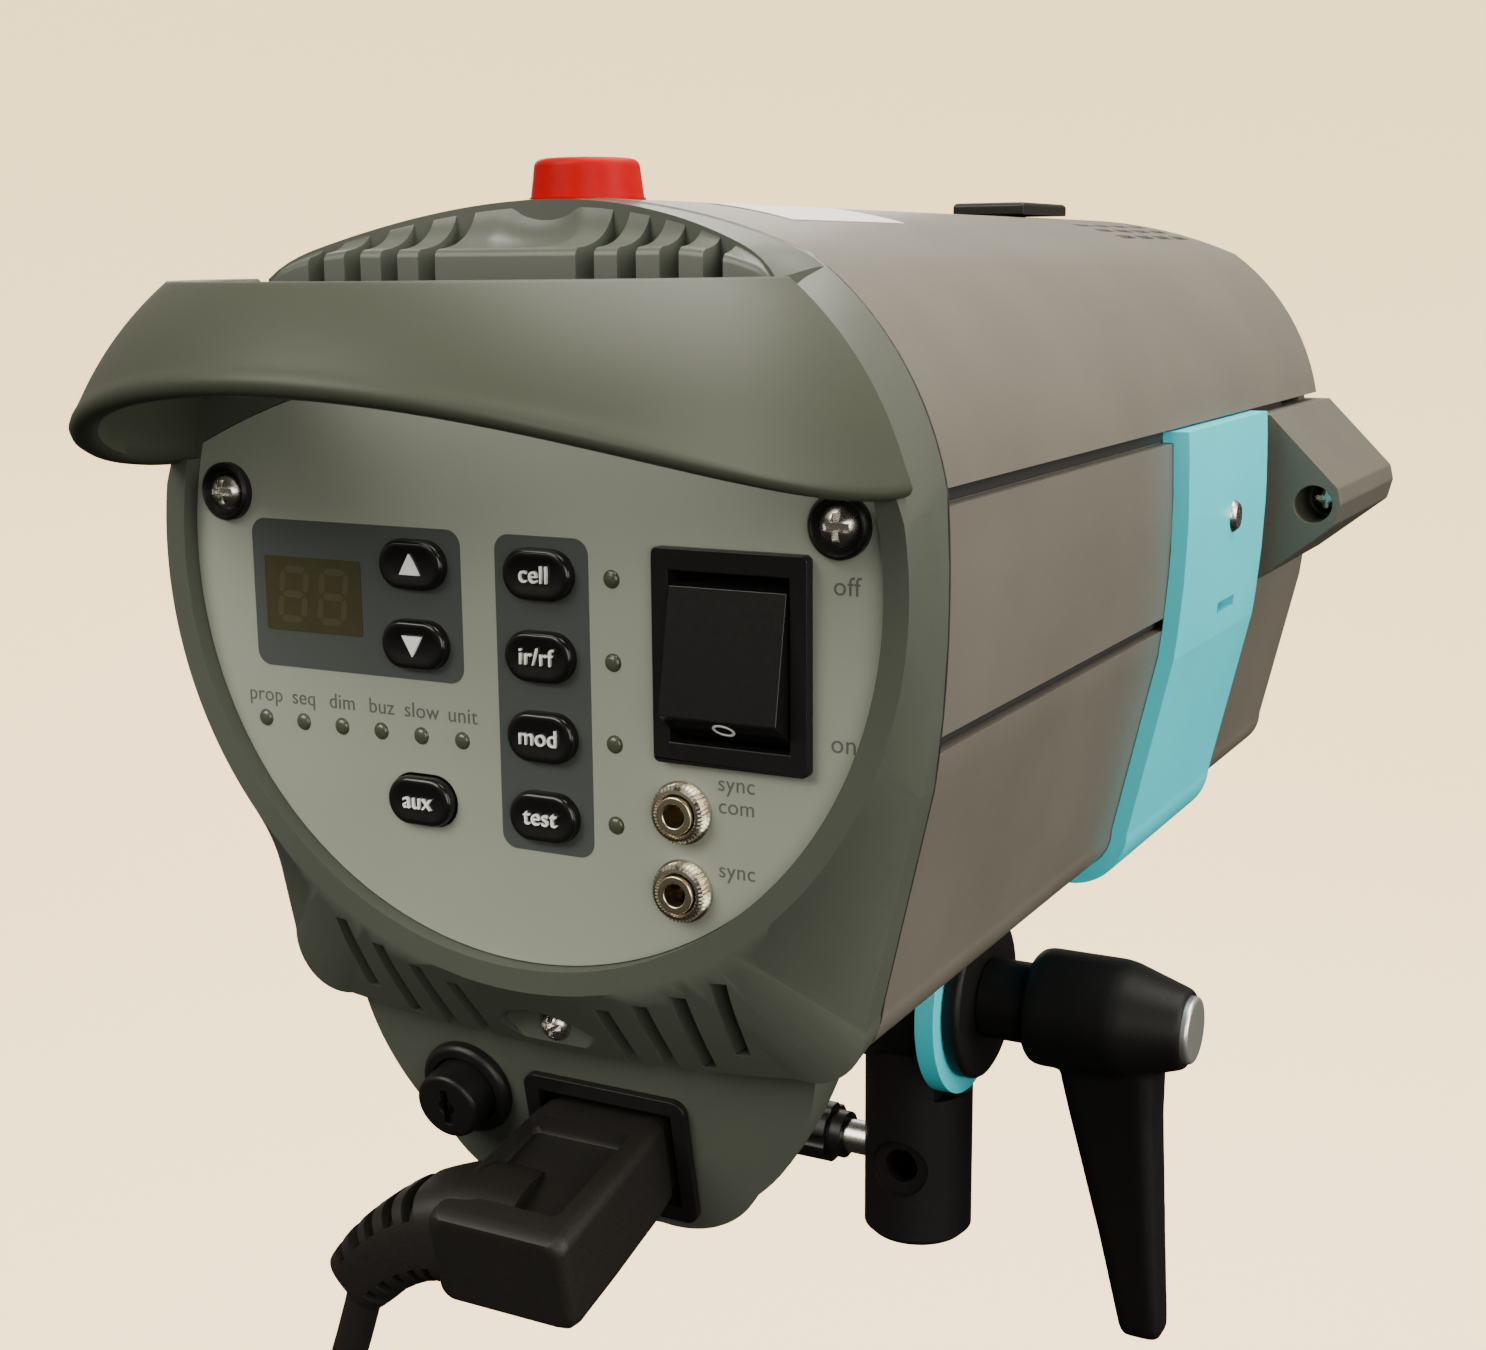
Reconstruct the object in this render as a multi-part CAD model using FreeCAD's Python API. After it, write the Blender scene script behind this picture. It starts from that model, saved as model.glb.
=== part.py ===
"""Monolight strobe: flash head in a tilting cradle, with its stand head and mains lead.

Millimetres. +Z is up, -Y is the side with the control panel, +Y is the side the light leaves,
+X is to the right of someone facing the panel. The origin is the centre of the mouth of the
stand socket, so the strobe hangs on the top of a light stand.
"""
import FreeCAD, Part
import math
import os

V = FreeCAD.Vector
X_AXIS = V(1, 0, 0)
Y_AXIS = V(0, 1, 0)
Z_AXIS = V(0, 0, 1)

# ---------------------------------------------------------------- driving dimensions
AIR = 0.3                 # clear air between pieces that move past each other
RUN = 0.05                # radial running clearance of a shaft in its hole
SEAT = 0.1                # gap round a piece that is fixed in its seat

# stand head
SPIGOT_CLEARANCE = 0.1    # radial, on a 16 mm spigot
SPIGOT_R = 8.0
SOCKET_DEPTH = 38.0
SOCKET_R = 12.7
TILT_Z = 60.0             # height of the tilt axis above the socket mouth
CHEEK_R = 18.0
CHEEK_X0 = -12.2
LUG_T = 4.6               # cradle lug between the cheek and the pressure disc
LUG_X0 = 8.2
LUG_R = 23.0
DISC_T = 4.0
DISC_R = 19.0
BOLT_R = 5.0
LOCK_Z = 19.0             # height of the cross holes in the socket
LOCK_SCREW_R = 4.0
PORT_R = 6.9              # second cross hole, for moving the locking screw round

# clamping lever
HUB_L = 10.5
HUB_R = 9.2
LEVER_L = 36.0
LEVER_R = 13.4
LEVER_REACH = 74.0        # axis to the tip of the arm
LEVER_LIFT = 4.0          # pull along the axis that frees the splines
SPLINE_R = 6.0
CAP_R = 7.5

# lamp housing
PANEL_Y = -163.0          # outer face of the control panel
SEAM_Y = -146.0           # rear cap to main body
BODY_FRONT_Y = 92.0
WALL = 2.2
LAMP_Z = 169.0            # height of the lamp axis
BODY_TOP_Z = 235.8
BODY_BOTTOM_Z = 103.0
BODY_HALF_W = 64.9
CREASE_IN = 22.1          # crease inside the body's side
CREASE_X = BODY_HALF_W - CREASE_IN
CREASE_DROP = 8.9         # crease below the top
BOTTOM_CORNER_IN = 19.9   # flat underside inside the body's side
BOTTOM_HALF_W = BODY_HALF_W - BOTTOM_CORNER_IN
GROOVE_Z = 190.7          # lower edge of the side groove
GROOVE_H = 2.7
SEAM_Z = 153.8            # lower edge of the low seam
SEAM_H = 2.6

# rear cap
PANEL_DATUM_Z = 161.0     # zero height of the panel drawing
PANEL_C = 19.0            # centre of the round panel above the datum
PANEL_R = 63.0
PANEL_T = 2.0
RIM_W = 4.0
RIM_PROUD = 3.0
PANEL_LEDGE = 3.0         # width of the seat behind the panel's edge
BROW_R = 140.0            # the arc that the hood's lip and the panel's top edge follow
BROW_Z = 211.0
BAND_Y = -153.0           # lower edge of the slotted band
BAND_DROP = 4.3           # how far that edge hangs below the body
VENT_PITCH = 7.1
VENT_W = 2.7
VENT_START = 14.2
COMB_W = 3.2
COMB_HALF = 43.7
COMB_Y1 = -150.5
COMB_Z0 = 222.0
HOOD_LIP_A = 66.0         # half width and reach of the hood's lip
HOOD_LIP_B = 60.0
HOOD_TOP_A = 47.0
HOOD_TOP_B = 49.0
HOOD_TOP_Z = 224.0
HOOD_T = 2.6
HOOD_BULGE_R = 51.0
DOME_R = 9.2
DOME_Y = -139.0
DOME_H = 8.0

# panel fittings, from the panel datum
BUTTON_L = 12.3
BUTTON_W = 8.0
BUTTON_PROUD = 1.9
BUTTON_TRAVEL = 0.8
BUTTONS = {
    "up_button": (-18.3, 18.6),
    "down_button": (-18.3, 5.85),
    "aux_button": (-18.3, -19.6),
    "cell_button": (5.1, 18.5),
    "remote_button": (5.1, 5.8),
    "model_button": (5.1, -6.8),
    "test_button": (5.1, -19.5),
}
LED_R = 1.4
LED_ROW = [(-50.2 + 7.935 * i, -9.1) for i in range(6)]
LED_COLUMN = [(17.6, z) for z in (18.5, 5.8, -6.8, -19.5)]
DISPLAY = (-48.6, -29.3, 6.2, 18.25)
SWITCH_C = (38.25, 8.0)
SWITCH_W = 25.5
SWITCH_H = 32.25
SWITCH_PROUD = 2.0
ROCKER_W = 19.2
ROCKER_H = 24.4
ROCKER_TILT = 11.0
JACKS = [(29.4, -15.9), (29.4, -28.1)]
JACK_BORE_R = 1.8
JACK_DEPTH = 15.0
SCREW_X = 55.4
SCREW_Z = 28.5
CUP_R = 4.75
POST_R = 4.6              # screw posts behind the panel

# mains compartment under the body
CHIN_Y = -148.0
CHIN_TILT = 12.0
CHIN_HALF_W = 44.5
CHIN_BOTTOM_Z = 64.2
INLET_X = 4.0
INLET_Z = 79.0
INLET_W = 31.5
INLET_H = 24.0
PLUG_W = 24.0
PLUG_H = 16.4
FUSE_X = -24.3
FUSE_Z = 85.0
FUSE_CAP_R = 6.1
FUSE_RING_R = 8.8

# cradle
STRAP_T = 3.2
STRAP_W = 62.0

# front end
EAR_Y0 = 37.0
EAR_Y1 = 98.0
EAR_HOLE_R = 4.15
BAYONET_R = 56.0
BAYONET_BORE = 50.0
GLASS_R = 38.0
GLASS_T = 2.0
RELEASE_W = 17.5
RELEASE_L = 30.0
RELEASE_H = 2.8
RELEASE_Y0 = 36.0
RELEASE_TRAVEL = 6.0      # pulled towards the panel to free the reflector
STEM_Y0 = RELEASE_Y0 + 13
STEM_Y1 = STEM_Y0 + 6

# mains lead
CORD_R = 3.0
COIL_PITCH = 6.2
COIL_R = 47.0             # centreline of the outermost turn
COIL_LAYERS = 4
COIL_COLUMNS = 5
CORD_Y = -172.0
COIL_C = (-15.0, CORD_Y, -69.0)
CORD_ROUTE = [
    (-26.6, CORD_Y, 61.5), (-30.4, CORD_Y, 48.5), (-39.5, CORD_Y, 27.5),
    (-51.0, CORD_Y, 5.0), (-59.5, CORD_Y, -19.0), (-62.0, CORD_Y, -43.0),
]


# ---------------------------------------------------------------- helpers
def box(x0, x1, y0, y1, z0, z1):
    return Part.makeBox(x1 - x0, y1 - y0, z1 - z0, V(x0, y0, z0))


def rod(radius, start, axis, length):
    return Part.makeCylinder(radius, length, V(*start), axis)


def tube(outer, inner, start, axis, length):
    return rod(outer, start, axis, length).cut(rod(inner, start, axis, length))


def mirrored(shape):
    """The same shape on the other side of the X=0 plane."""
    return shape.mirror(V(0, 0, 0), X_AXIS)


def fuse(shapes):
    return shapes[0].multiFuse(shapes[1:]).removeSplitter()


def outline(half, y):
    """Closed wire in the plane Y=y, mirrored from its right half.

    half starts at the top centre; each later entry is a corner (x, z) or an arc ((xm, zm), (x, z)).
    """
    right = []
    left = []
    start = half[0]
    for step in half[1:]:
        if isinstance(step[0], tuple):
            middle, end = step
            points = [V(p[0], y, p[1]) for p in (start, middle, end)]
            mirror = [V(-p.x, p.y, p.z) for p in reversed(points)]
            right.append(Part.Arc(*points).toShape())
            left.append(Part.Arc(*mirror).toShape())
        else:
            end = step
            points = [V(p[0], y, p[1]) for p in (start, end)]
            mirror = [V(-p.x, p.y, p.z) for p in reversed(points)]
            right.append(Part.LineSegment(*points).toShape())
            left.append(Part.LineSegment(*mirror).toShape())
        start = end
    return Part.Wire(right + left[::-1])


def grown(wire, by):
    return Part.Face(wire).makeOffset2D(by).OuterWire


def slab(wire, depth):
    return Part.Face(wire).extrude(V(0, depth, 0))


def pill(x, z, length, width, y0, y1):
    """Round-ended bar across X, from y0 to y1."""
    straight = (length - width) / 2
    ends = [rod(width / 2, (x + side * straight, y0, z), Y_AXIS, y1 - y0) for side in (-1, 1)]
    middle = box(x - straight, x + straight, y0, y1, z - width / 2, z + width / 2)
    return fuse(ends + [middle])


def rounded_bar(x0, x1, y0, y1, z0, z1, radius):
    """Box with its four edges along Y rounded."""
    solid = box(x0, x1, y0, y1, z0, z1)
    edges = [e for e in solid.Edges if abs(abs(e.tangentAt(e.FirstParameter).y) - 1) < 1e-6]
    return solid.makeFillet(radius, edges)


def phillips(radius, y, depth):
    """Cross recess that opens towards -Y at the height y."""
    arm = radius * 0.62
    blade = radius * 0.17
    upright = box(-blade, blade, y - 1, y + depth, -arm, arm)
    across = box(-arm, arm, y - 1, y + depth, -blade, blade)
    return upright.fuse(across)


def pan_screw(x, z, y_seat, head_r, head_h, shank_r, shank_l):
    """Screw along Y whose head stands out towards -Y from y_seat."""
    dome_r = (head_r ** 2 + head_h ** 2) / (2 * head_h)
    ball = Part.makeSphere(dome_r, V(0, dome_r - head_h, 0))
    head = ball.common(rod(head_r, (0, -head_h, 0), Y_AXIS, head_h))
    head = head.cut(phillips(head_r, -head_h, head_h * 0.75))
    screw = head.fuse(rod(shank_r, (0, 0, 0), Y_AXIS, shank_l)).removeSplitter()
    screw.translate(V(x, y_seat, z))
    return screw


# ---------------------------------------------------------------- housing outlines
CREASE_Z = BODY_TOP_Z - CREASE_DROP


def body_half():
    """Right half of the body's cross-section."""
    w = BODY_HALF_W
    low = BODY_BOTTOM_Z
    return [
        (0, BODY_TOP_Z),
        ((CREASE_X / 2, BODY_TOP_Z - CREASE_DROP / 4), (CREASE_X, CREASE_Z)),
        ((w - 7.9, CREASE_Z - 14.9), (w - 0.5, GROOVE_Z + 2.3)),
        ((w, GROOVE_Z - 13), (w - 2, SEAM_Z - 5.2)),
        (w - 10.4, low + 9),
        ((w - 13.4, low + 2.2), (BOTTOM_HALF_W, low)),
        (0, low),
    ]


def rim_half():
    """Right half of the rear rim: round below, following the body's shoulder above."""
    radius = PANEL_R + RIM_W
    zc = PANEL_DATUM_Z + PANEL_C

    def on_rim(degrees):
        a = math.radians(degrees)
        return (radius * math.cos(a), zc + radius * math.sin(a))

    return [
        (0, BODY_TOP_Z - 7.8),
        ((CREASE_X / 2, BODY_TOP_Z - 9.3), (CREASE_X - 1, CREASE_Z - 5.4)),
        ((on_rim(9)[0] - 8, CREASE_Z - 20.3), on_rim(9)),
        (on_rim(-6), on_rim(-20)),
        (on_rim(-38), on_rim(-55)),
        (on_rim(-59), on_rim(-63)),
        (on_rim(-76), on_rim(-90)),
    ]


def band_half():
    """Right half of the section where the slotted band ends."""
    w = BODY_HALF_W
    low = BODY_BOTTOM_Z
    return [
        (0, BODY_TOP_Z - 2.0),
        ((CREASE_X / 2, BODY_TOP_Z - 4.2), (CREASE_X, CREASE_Z - 1.6)),
        ((w - 7.6, CREASE_Z - 16.4), (w + 0.6, GROOVE_Z + 1.5)),
        ((w + 0.8, GROOVE_Z - 14), (w - 1.4, SEAM_Z - 5.2)),
        (w - 10.0, low + 8.5),
        ((w - 13.2, low + 0.8), (BOTTOM_HALF_W - 2, low - 1.6)),
        ((BOTTOM_HALF_W / 2, low - BAND_DROP * 0.85), (0, low - BAND_DROP)),
    ]


def drawn_in(half, inset):
    """The same half outline with every point moved towards the middle of the section."""
    zc = PANEL_DATUM_Z + 10

    def moved(point):
        reach = math.hypot(point[0], point[1] - zc)
        keep = 1 - inset / reach
        return (point[0] * keep, zc + (point[1] - zc) * keep)

    return [tuple(moved(p) for p in step) if isinstance(step[0], tuple) else moved(step) for step in half]


def body_wire(y):
    return outline(body_half(), y)


def body_shell(y0, y1, thickness, gap=0.0):
    """Sleeve that follows the body's section, gap inside its outer skin."""
    outer = body_wire(y0)
    if gap:
        outer = grown(outer, -gap)
    return slab(outer, y1 - y0).cut(slab(grown(body_wire(y0), -gap - thickness), y1 - y0))


WIDE = 200.0              # half size of the blocks that trim other shapes


def between(z0, z1):
    return box(-WIDE, WIDE, -2 * WIDE, WIDE, z0, z1)


def face_y(z):
    """Y of the chin's sloping rear face at the height z."""
    return CHIN_Y + (BODY_BOTTOM_Z - 4 - z) * math.tan(math.radians(CHIN_TILT))


def on_chin(shape, x, z):
    """Place a shape drawn with its seat in Y=0 and facing -Y on the chin's rear face."""
    shape.rotate(V(0, 0, 0), X_AXIS, CHIN_TILT)
    shape.translate(V(x, face_y(z), z))
    return shape


# ---------------------------------------------------------------- stand head
SOCKET_BORE = SPIGOT_R + SPIGOT_CLEARANCE
CHEEK_X1 = LUG_X0 - AIR
DISC_X0 = LUG_X0 + LUG_T + AIR
DISC_X1 = DISC_X0 + DISC_T
HUB_X0 = DISC_X1 + AIR
LEVER_X0 = HUB_X0 + HUB_L + AIR
LEVER_X1 = LEVER_X0 + LEVER_L


def stand_socket():
    body = rod(SOCKET_R, (0, 0, 0), Z_AXIS, TILT_Z)
    rim = [e for e in body.Edges if abs(e.CenterOfMass.z) < 1e-6 and e.Length > SOCKET_R]
    body = body.makeChamfer(1.5, rim)
    body = body.cut(rod(SOCKET_BORE, (0, 0, 0), Z_AXIS, SOCKET_DEPTH))
    clear_of_lug = box(CHEEK_X1, SOCKET_R + 1, -WIDE, WIDE, TILT_Z - LUG_R - 1, TILT_Z + WIDE)
    body = body.cut(clear_of_lug)
    cheek = rod(CHEEK_R, (CHEEK_X0, 0, TILT_Z), X_AXIS, CHEEK_X1 - CHEEK_X0)
    body = body.fuse(cheek)
    body = body.cut(rod(BOLT_R + RUN, (CHEEK_X0 - 1, 0, TILT_Z), X_AXIS, 3 * SOCKET_R))
    body = body.cut(rod(LOCK_SCREW_R + RUN, (-SOCKET_R - 1, 0, LOCK_Z), X_AXIS, SOCKET_R))
    port = rod(PORT_R, (0, -SOCKET_R - 1, LOCK_Z), Y_AXIS, 3.4)
    port = port.fuse(rod(LOCK_SCREW_R, (0, -SOCKET_R - 1, LOCK_Z), Y_AXIS, SOCKET_R))
    return body.cut(port).removeSplitter()


def pressure_disc():
    disc = tube(DISC_R, BOLT_R + RUN, (DISC_X0, 0, TILT_Z), X_AXIS, DISC_T)
    outer = [e for e in disc.Edges if abs(e.CenterOfMass.x - DISC_X1) < 1e-6 and e.Length > 100]
    return disc.makeChamfer(0.8, outer)


def clamp_bolt():
    shank = rod(BOLT_R, (CHEEK_X0 - 3, 0, TILT_Z), X_AXIS, HUB_X0 - CHEEK_X0 + 3)
    hub = rod(HUB_R, (HUB_X0, 0, TILT_Z), X_AXIS, HUB_L)
    nose = rod(SPLINE_R, (HUB_X0 + HUB_L, 0, TILT_Z), X_AXIS, 16)
    return fuse([shank, hub, nose])


def rounded_rectangle(x0, x1, half_y, z, radius):
    solid = box(x0, x1, -half_y, half_y, z, z + 1)
    edges = [e for e in solid.Edges if abs(abs(e.tangentAt(e.FirstParameter).z) - 1) < 1e-6]
    face = [f for f in solid.makeFillet(radius, edges).Faces if abs(f.CenterOfMass.z - z) < 1e-6][0]
    return face.OuterWire


def clamp_lever():
    middle_x = LEVER_X0 + 23
    head = rod(LEVER_R, (LEVER_X0, 0, TILT_Z), X_AXIS, middle_x - LEVER_X0)
    nose = Part.makeCone(LEVER_R, CAP_R + 1.2, LEVER_X1 - middle_x, V(middle_x, 0, TILT_Z), X_AXIS)
    tip_z = TILT_Z - LEVER_REACH
    root = rounded_rectangle(LEVER_X0 + 7, LEVER_X0 + 28, 7.0, TILT_Z - 4, 4.0)
    tip = rounded_rectangle(LEVER_X0 + 23, LEVER_X0 + 32.5, 4.6, tip_z, 3.0)
    arm = Part.makeLoft([root, tip], True, True)
    lever = fuse([head, nose, arm])
    lever = lever.cut(rod(SPLINE_R + RUN, (LEVER_X0 - 1, 0, TILT_Z), X_AXIS, 24))
    cap_seat = rod(CAP_R + SEAT, (LEVER_X1 - 5, 0, TILT_Z), X_AXIS, 10)
    return lever.cut(cap_seat)


def lever_cap():
    cap = rod(CAP_R, (LEVER_X1 - 5, 0, TILT_Z), X_AXIS, 6.2)
    edge = [e for e in cap.Edges if abs(e.CenterOfMass.x - LEVER_X1 - 1.2) < 1e-6]
    return cap.makeFillet(0.9, edge)


KNOB_X1 = -SOCKET_R - 5.5


def lock_screw():
    shank = rod(LOCK_SCREW_R, (KNOB_X1 - 8, 0, LOCK_Z), X_AXIS, -SOCKET_BORE - KNOB_X1 + 8 - 0.4)
    return shank


def lock_knob():
    collar = rod(5.6, (KNOB_X1 - 3.5, 0, LOCK_Z), X_AXIS, 3.5)
    grip = rod(7.2, (KNOB_X1 - 13.5, 0, LOCK_Z), X_AXIS, 10)
    lobes = [
        rod(2.2, (KNOB_X1 - 14, 8.6 * math.cos(a), LOCK_Z + 8.6 * math.sin(a)), X_AXIS, 11)
        for a in [math.radians(60 * i) for i in range(6)]
    ]
    knob = collar.fuse(grip).cut(Part.makeCompound(lobes)).removeSplitter()
    return knob.cut(rod(LOCK_SCREW_R + RUN, (KNOB_X1 - 8, 0, LOCK_Z), X_AXIS, 12))


# ---------------------------------------------------------------- cradle
STRAP_TOP_Z = GROOVE_Z + 2.3


def strap_sleeve(inner_gap, thickness):
    wire = body_wire(-STRAP_W / 2)
    outer = slab(grown(wire, inner_gap + thickness), STRAP_W)
    return outer.cut(slab(grown(wire, inner_gap), STRAP_W))


def cradle_strap():
    strap = strap_sleeve(SEAT, STRAP_T).common(between(0, STRAP_TOP_Z))
    reach = BODY_HALF_W - WALL - SEAT - 0.1
    hook = box(reach, BODY_HALF_W + 1, -STRAP_W / 2, STRAP_W / 2, GROOVE_Z + SEAT, STRAP_TOP_Z)
    strap = fuse([strap, hook, mirrored(hook)])
    for side in (-1, 1):
        start = V(side * (BODY_HALF_W - 5), 4, PANEL_DATUM_Z + 12)
        strap = strap.cut(Part.makeCylinder(2.1, 14, start, V(side, 0, 0)))
    slot = box(BODY_HALF_W - 6, BODY_HALF_W + 8, -2, 11, PANEL_DATUM_Z - 8, PANEL_DATUM_Z - 5.6)
    strap = strap.cut(slot).cut(mirrored(slot))
    for x, y in LUG_SCREWS:
        strap = strap.cut(rod(2.1, (x, y, BODY_BOTTOM_Z - 8), Z_AXIS, 10))
    return strap


LUG_SCREWS = [(-13, -14), (-13, 14), (31, -14), (31, 14)]


def tilt_lug():
    top = BODY_BOTTOM_Z - SEAT - STRAP_T
    eye = rod(LUG_R, (LUG_X0, 0, TILT_Z), X_AXIS, LUG_T)
    web = box(LUG_X0, LUG_X0 + LUG_T, -20, 20, TILT_Z, top)
    foot = rounded_foot(-20, 38, top)
    lug = fuse([eye, web, foot])
    lug = lug.cut(rod(BOLT_R + RUN, (LUG_X0 - 1, 0, TILT_Z), X_AXIS, LUG_T + 2))
    for x, y in LUG_SCREWS:
        lug = lug.cut(rod(2.1, (x, y, top - 6), Z_AXIS, 10))
    return lug


def rounded_foot(x0, x1, top):
    solid = box(x0, x1, -22, 22, top - 3, top)
    edges = [e for e in solid.Edges if abs(abs(e.tangentAt(e.FirstParameter).z) - 1) < 1e-6]
    return solid.makeFillet(5, edges)


def cradle_screws():
    """The four screws of the lug and the two that hold the strap's hooks in the side grooves."""
    top = BODY_BOTTOM_Z - SEAT - STRAP_T
    screws = []
    for x, y in LUG_SCREWS:
        screws.append(rod(3.4, (x, y, top - 3 - 2.2), Z_AXIS, 2.2).fuse(rod(2.0, (x, y, top - 3), Z_AXIS, 6)))
    screws = [screw.removeSplitter() for screw in screws]
    for side in (-1, 1):
        x = side * (BODY_HALF_W + SEAT + STRAP_T)
        z = PANEL_DATUM_Z + 12
        head = Part.makeCone(3.4, 2.6, 1.0, V(x, 4, z), V(side, 0, 0))
        shank = Part.makeCylinder(1.9, 7, V(x, 4, z), V(-side, 0, 0))
        slot = box(-12, 12, 3.6, 4.4, z - 5, z + 5)
        slot.translate(V(x + side * (0.5 + 12), 0, 0))
        screws.append(head.fuse(shank).removeSplitter().cut(slot))
    return Part.makeCompound(screws)


# ---------------------------------------------------------------- body shells
def strap_screw_hole():
    return rod(2.0, (-WIDE, 4, PANEL_DATUM_Z + 12), X_AXIS, 2 * WIDE)


def top_cover():
    cover = body_shell(SEAM_Y, BODY_FRONT_Y + 3, WALL).common(between(GROOVE_Z + GROOVE_H, WIDE * 2))
    dome_hole = rod(DOME_R + SEAT, (0, DOME_Y, BODY_TOP_Z - 10), Z_AXIS, 20)
    release_slot = box(-3, 3, STEM_Y0 - RELEASE_TRAVEL - 1, STEM_Y1 + 1, BODY_TOP_Z - 10, BODY_TOP_Z + 5)
    cover = cover.cut(dome_hole).cut(release_slot)
    slots = []
    for row in range(3):
        for column in range(4):
            x = 20.5 + 5.2 * row
            y = 34 + 14 * column
            slots.append(box(x, x + 2.6, y, y + 11, BODY_TOP_Z - 20, BODY_TOP_Z + 5))
            slots.append(mirrored(slots[-1]))
    return cover.cut(Part.makeCompound(slots))


def side_panel(side):
    panel = body_shell(SEAM_Y, EAR_Y0 - SEAT, WALL).common(between(SEAM_Z + SEAM_H, GROOVE_Z))
    half = box(0, WIDE, -2 * WIDE, WIDE, 0, 2 * WIDE)
    panel = panel.common(half if side > 0 else mirrored(half))
    return panel.cut(strap_screw_hole())


def bottom_tray():
    tray = body_shell(SEAM_Y, BODY_FRONT_Y, WALL).common(between(0, SEAM_Z))
    for x, y in LUG_SCREWS:
        tray = tray.cut(rod(2.1, (x, y, BODY_BOTTOM_Z - 8), Z_AXIS, 20))
    cable_hole = box(-15, 15, -135, -118, BODY_BOTTOM_Z - 5, BODY_BOTTOM_Z + 5)
    slots = [box(-30, 30, y, y + 3, BODY_BOTTOM_Z - 5, BODY_BOTTOM_Z + 5) for y in range(50, 80, 8)]
    return tray.cut(cable_hole).cut(Part.makeCompound(slots))


DECK_Z = SEAM_Z - 8       # underside of the chassis deck


def chassis_frame():
    """Rails that close the two side grooves from inside, joined by the deck that carries the boards."""
    y0 = SEAM_Y + 1
    y1 = PLATE_Y - 16
    gap = WALL + SEAT
    rails = body_shell(y0, y1, 1.8, gap).common(between(DECK_Z, GROOVE_Z + GROOVE_H + 5))
    inside = slab(grown(body_wire(y0), -gap - 1.0), y1 - y0)
    deck = inside.common(between(DECK_Z, DECK_Z + 2))
    frame = fuse([rails, deck])
    ears = box(-WIDE, WIDE, EAR_Y0 - 1, WIDE, DECK_Z + 2, WIDE * 2)
    return frame.cut(ears).cut(strap_screw_hole())


# ---------------------------------------------------------------- rear cap
def rear_loft(inset, y_rim, y_band, y_seam):
    stations = [(rim_half(), y_rim), (band_half(), y_band), (body_half(), y_seam)]
    return Part.makeLoft([outline(drawn_in(half, inset), y) for half, y in stations], True, True)


def panel_wire(y, gap=0.0):
    """The control panel's outline: a circle, cut off above by the brow arc."""
    zc = PANEL_DATUM_Z + PANEL_C
    circle = rod(PANEL_R + gap, (0, y, zc), Y_AXIS, 1)
    brow = rod(BROW_R + gap, (0, y, BROW_Z - BROW_R), Y_AXIS, 1)
    face = [f for f in circle.common(brow).Faces if abs(f.CenterOfMass.y - y) < 1e-6][0]
    return face.OuterWire


def comb_prism(gap):
    """Plan shape of the finned grille in the rear roof, as an upright block."""
    x = COMB_HALF + gap
    ends = [V(-x, PANEL_Y - 8, COMB_Z0 - gap), V(x, PANEL_Y - 8, COMB_Z0 - gap)]
    near = [V(-x, PANEL_Y, COMB_Z0 - gap), V(x, PANEL_Y, COMB_Z0 - gap)]
    arch = Part.Arc(near[1], V(0, COMB_Y1 + gap, COMB_Z0 - gap), near[0]).toShape()
    sides = [
        Part.LineSegment(near[0], ends[0]).toShape(),
        Part.LineSegment(ends[0], ends[1]).toShape(),
        Part.LineSegment(ends[1], near[1]).toShape(),
    ]
    return Part.Face(Part.Wire([arch] + sides)).extrude(V(0, 0, 40))


def vent_xs():
    return [side * (VENT_START + VENT_PITCH * i) for i in range(4) for side in (-1, 1)]


RIM_TOP_Z = PANEL_DATUM_Z + PANEL_C + 14.6
LOWER_SCREW = (0.0, PANEL_DATUM_Z - 57.4)
LOWER_SCREW_Y = -154.5


def rear_solid():
    """The rear cap before it is hollowed; above the rim its face is flat, where the hood seats."""
    cap = rear_loft(0, PANEL_Y - RIM_PROUD, BAND_Y, SEAM_Y - SEAT)
    return cap.cut(box(-WIDE, WIDE, PANEL_Y - 10, PANEL_Y, RIM_TOP_Z, 2 * WIDE))


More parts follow.
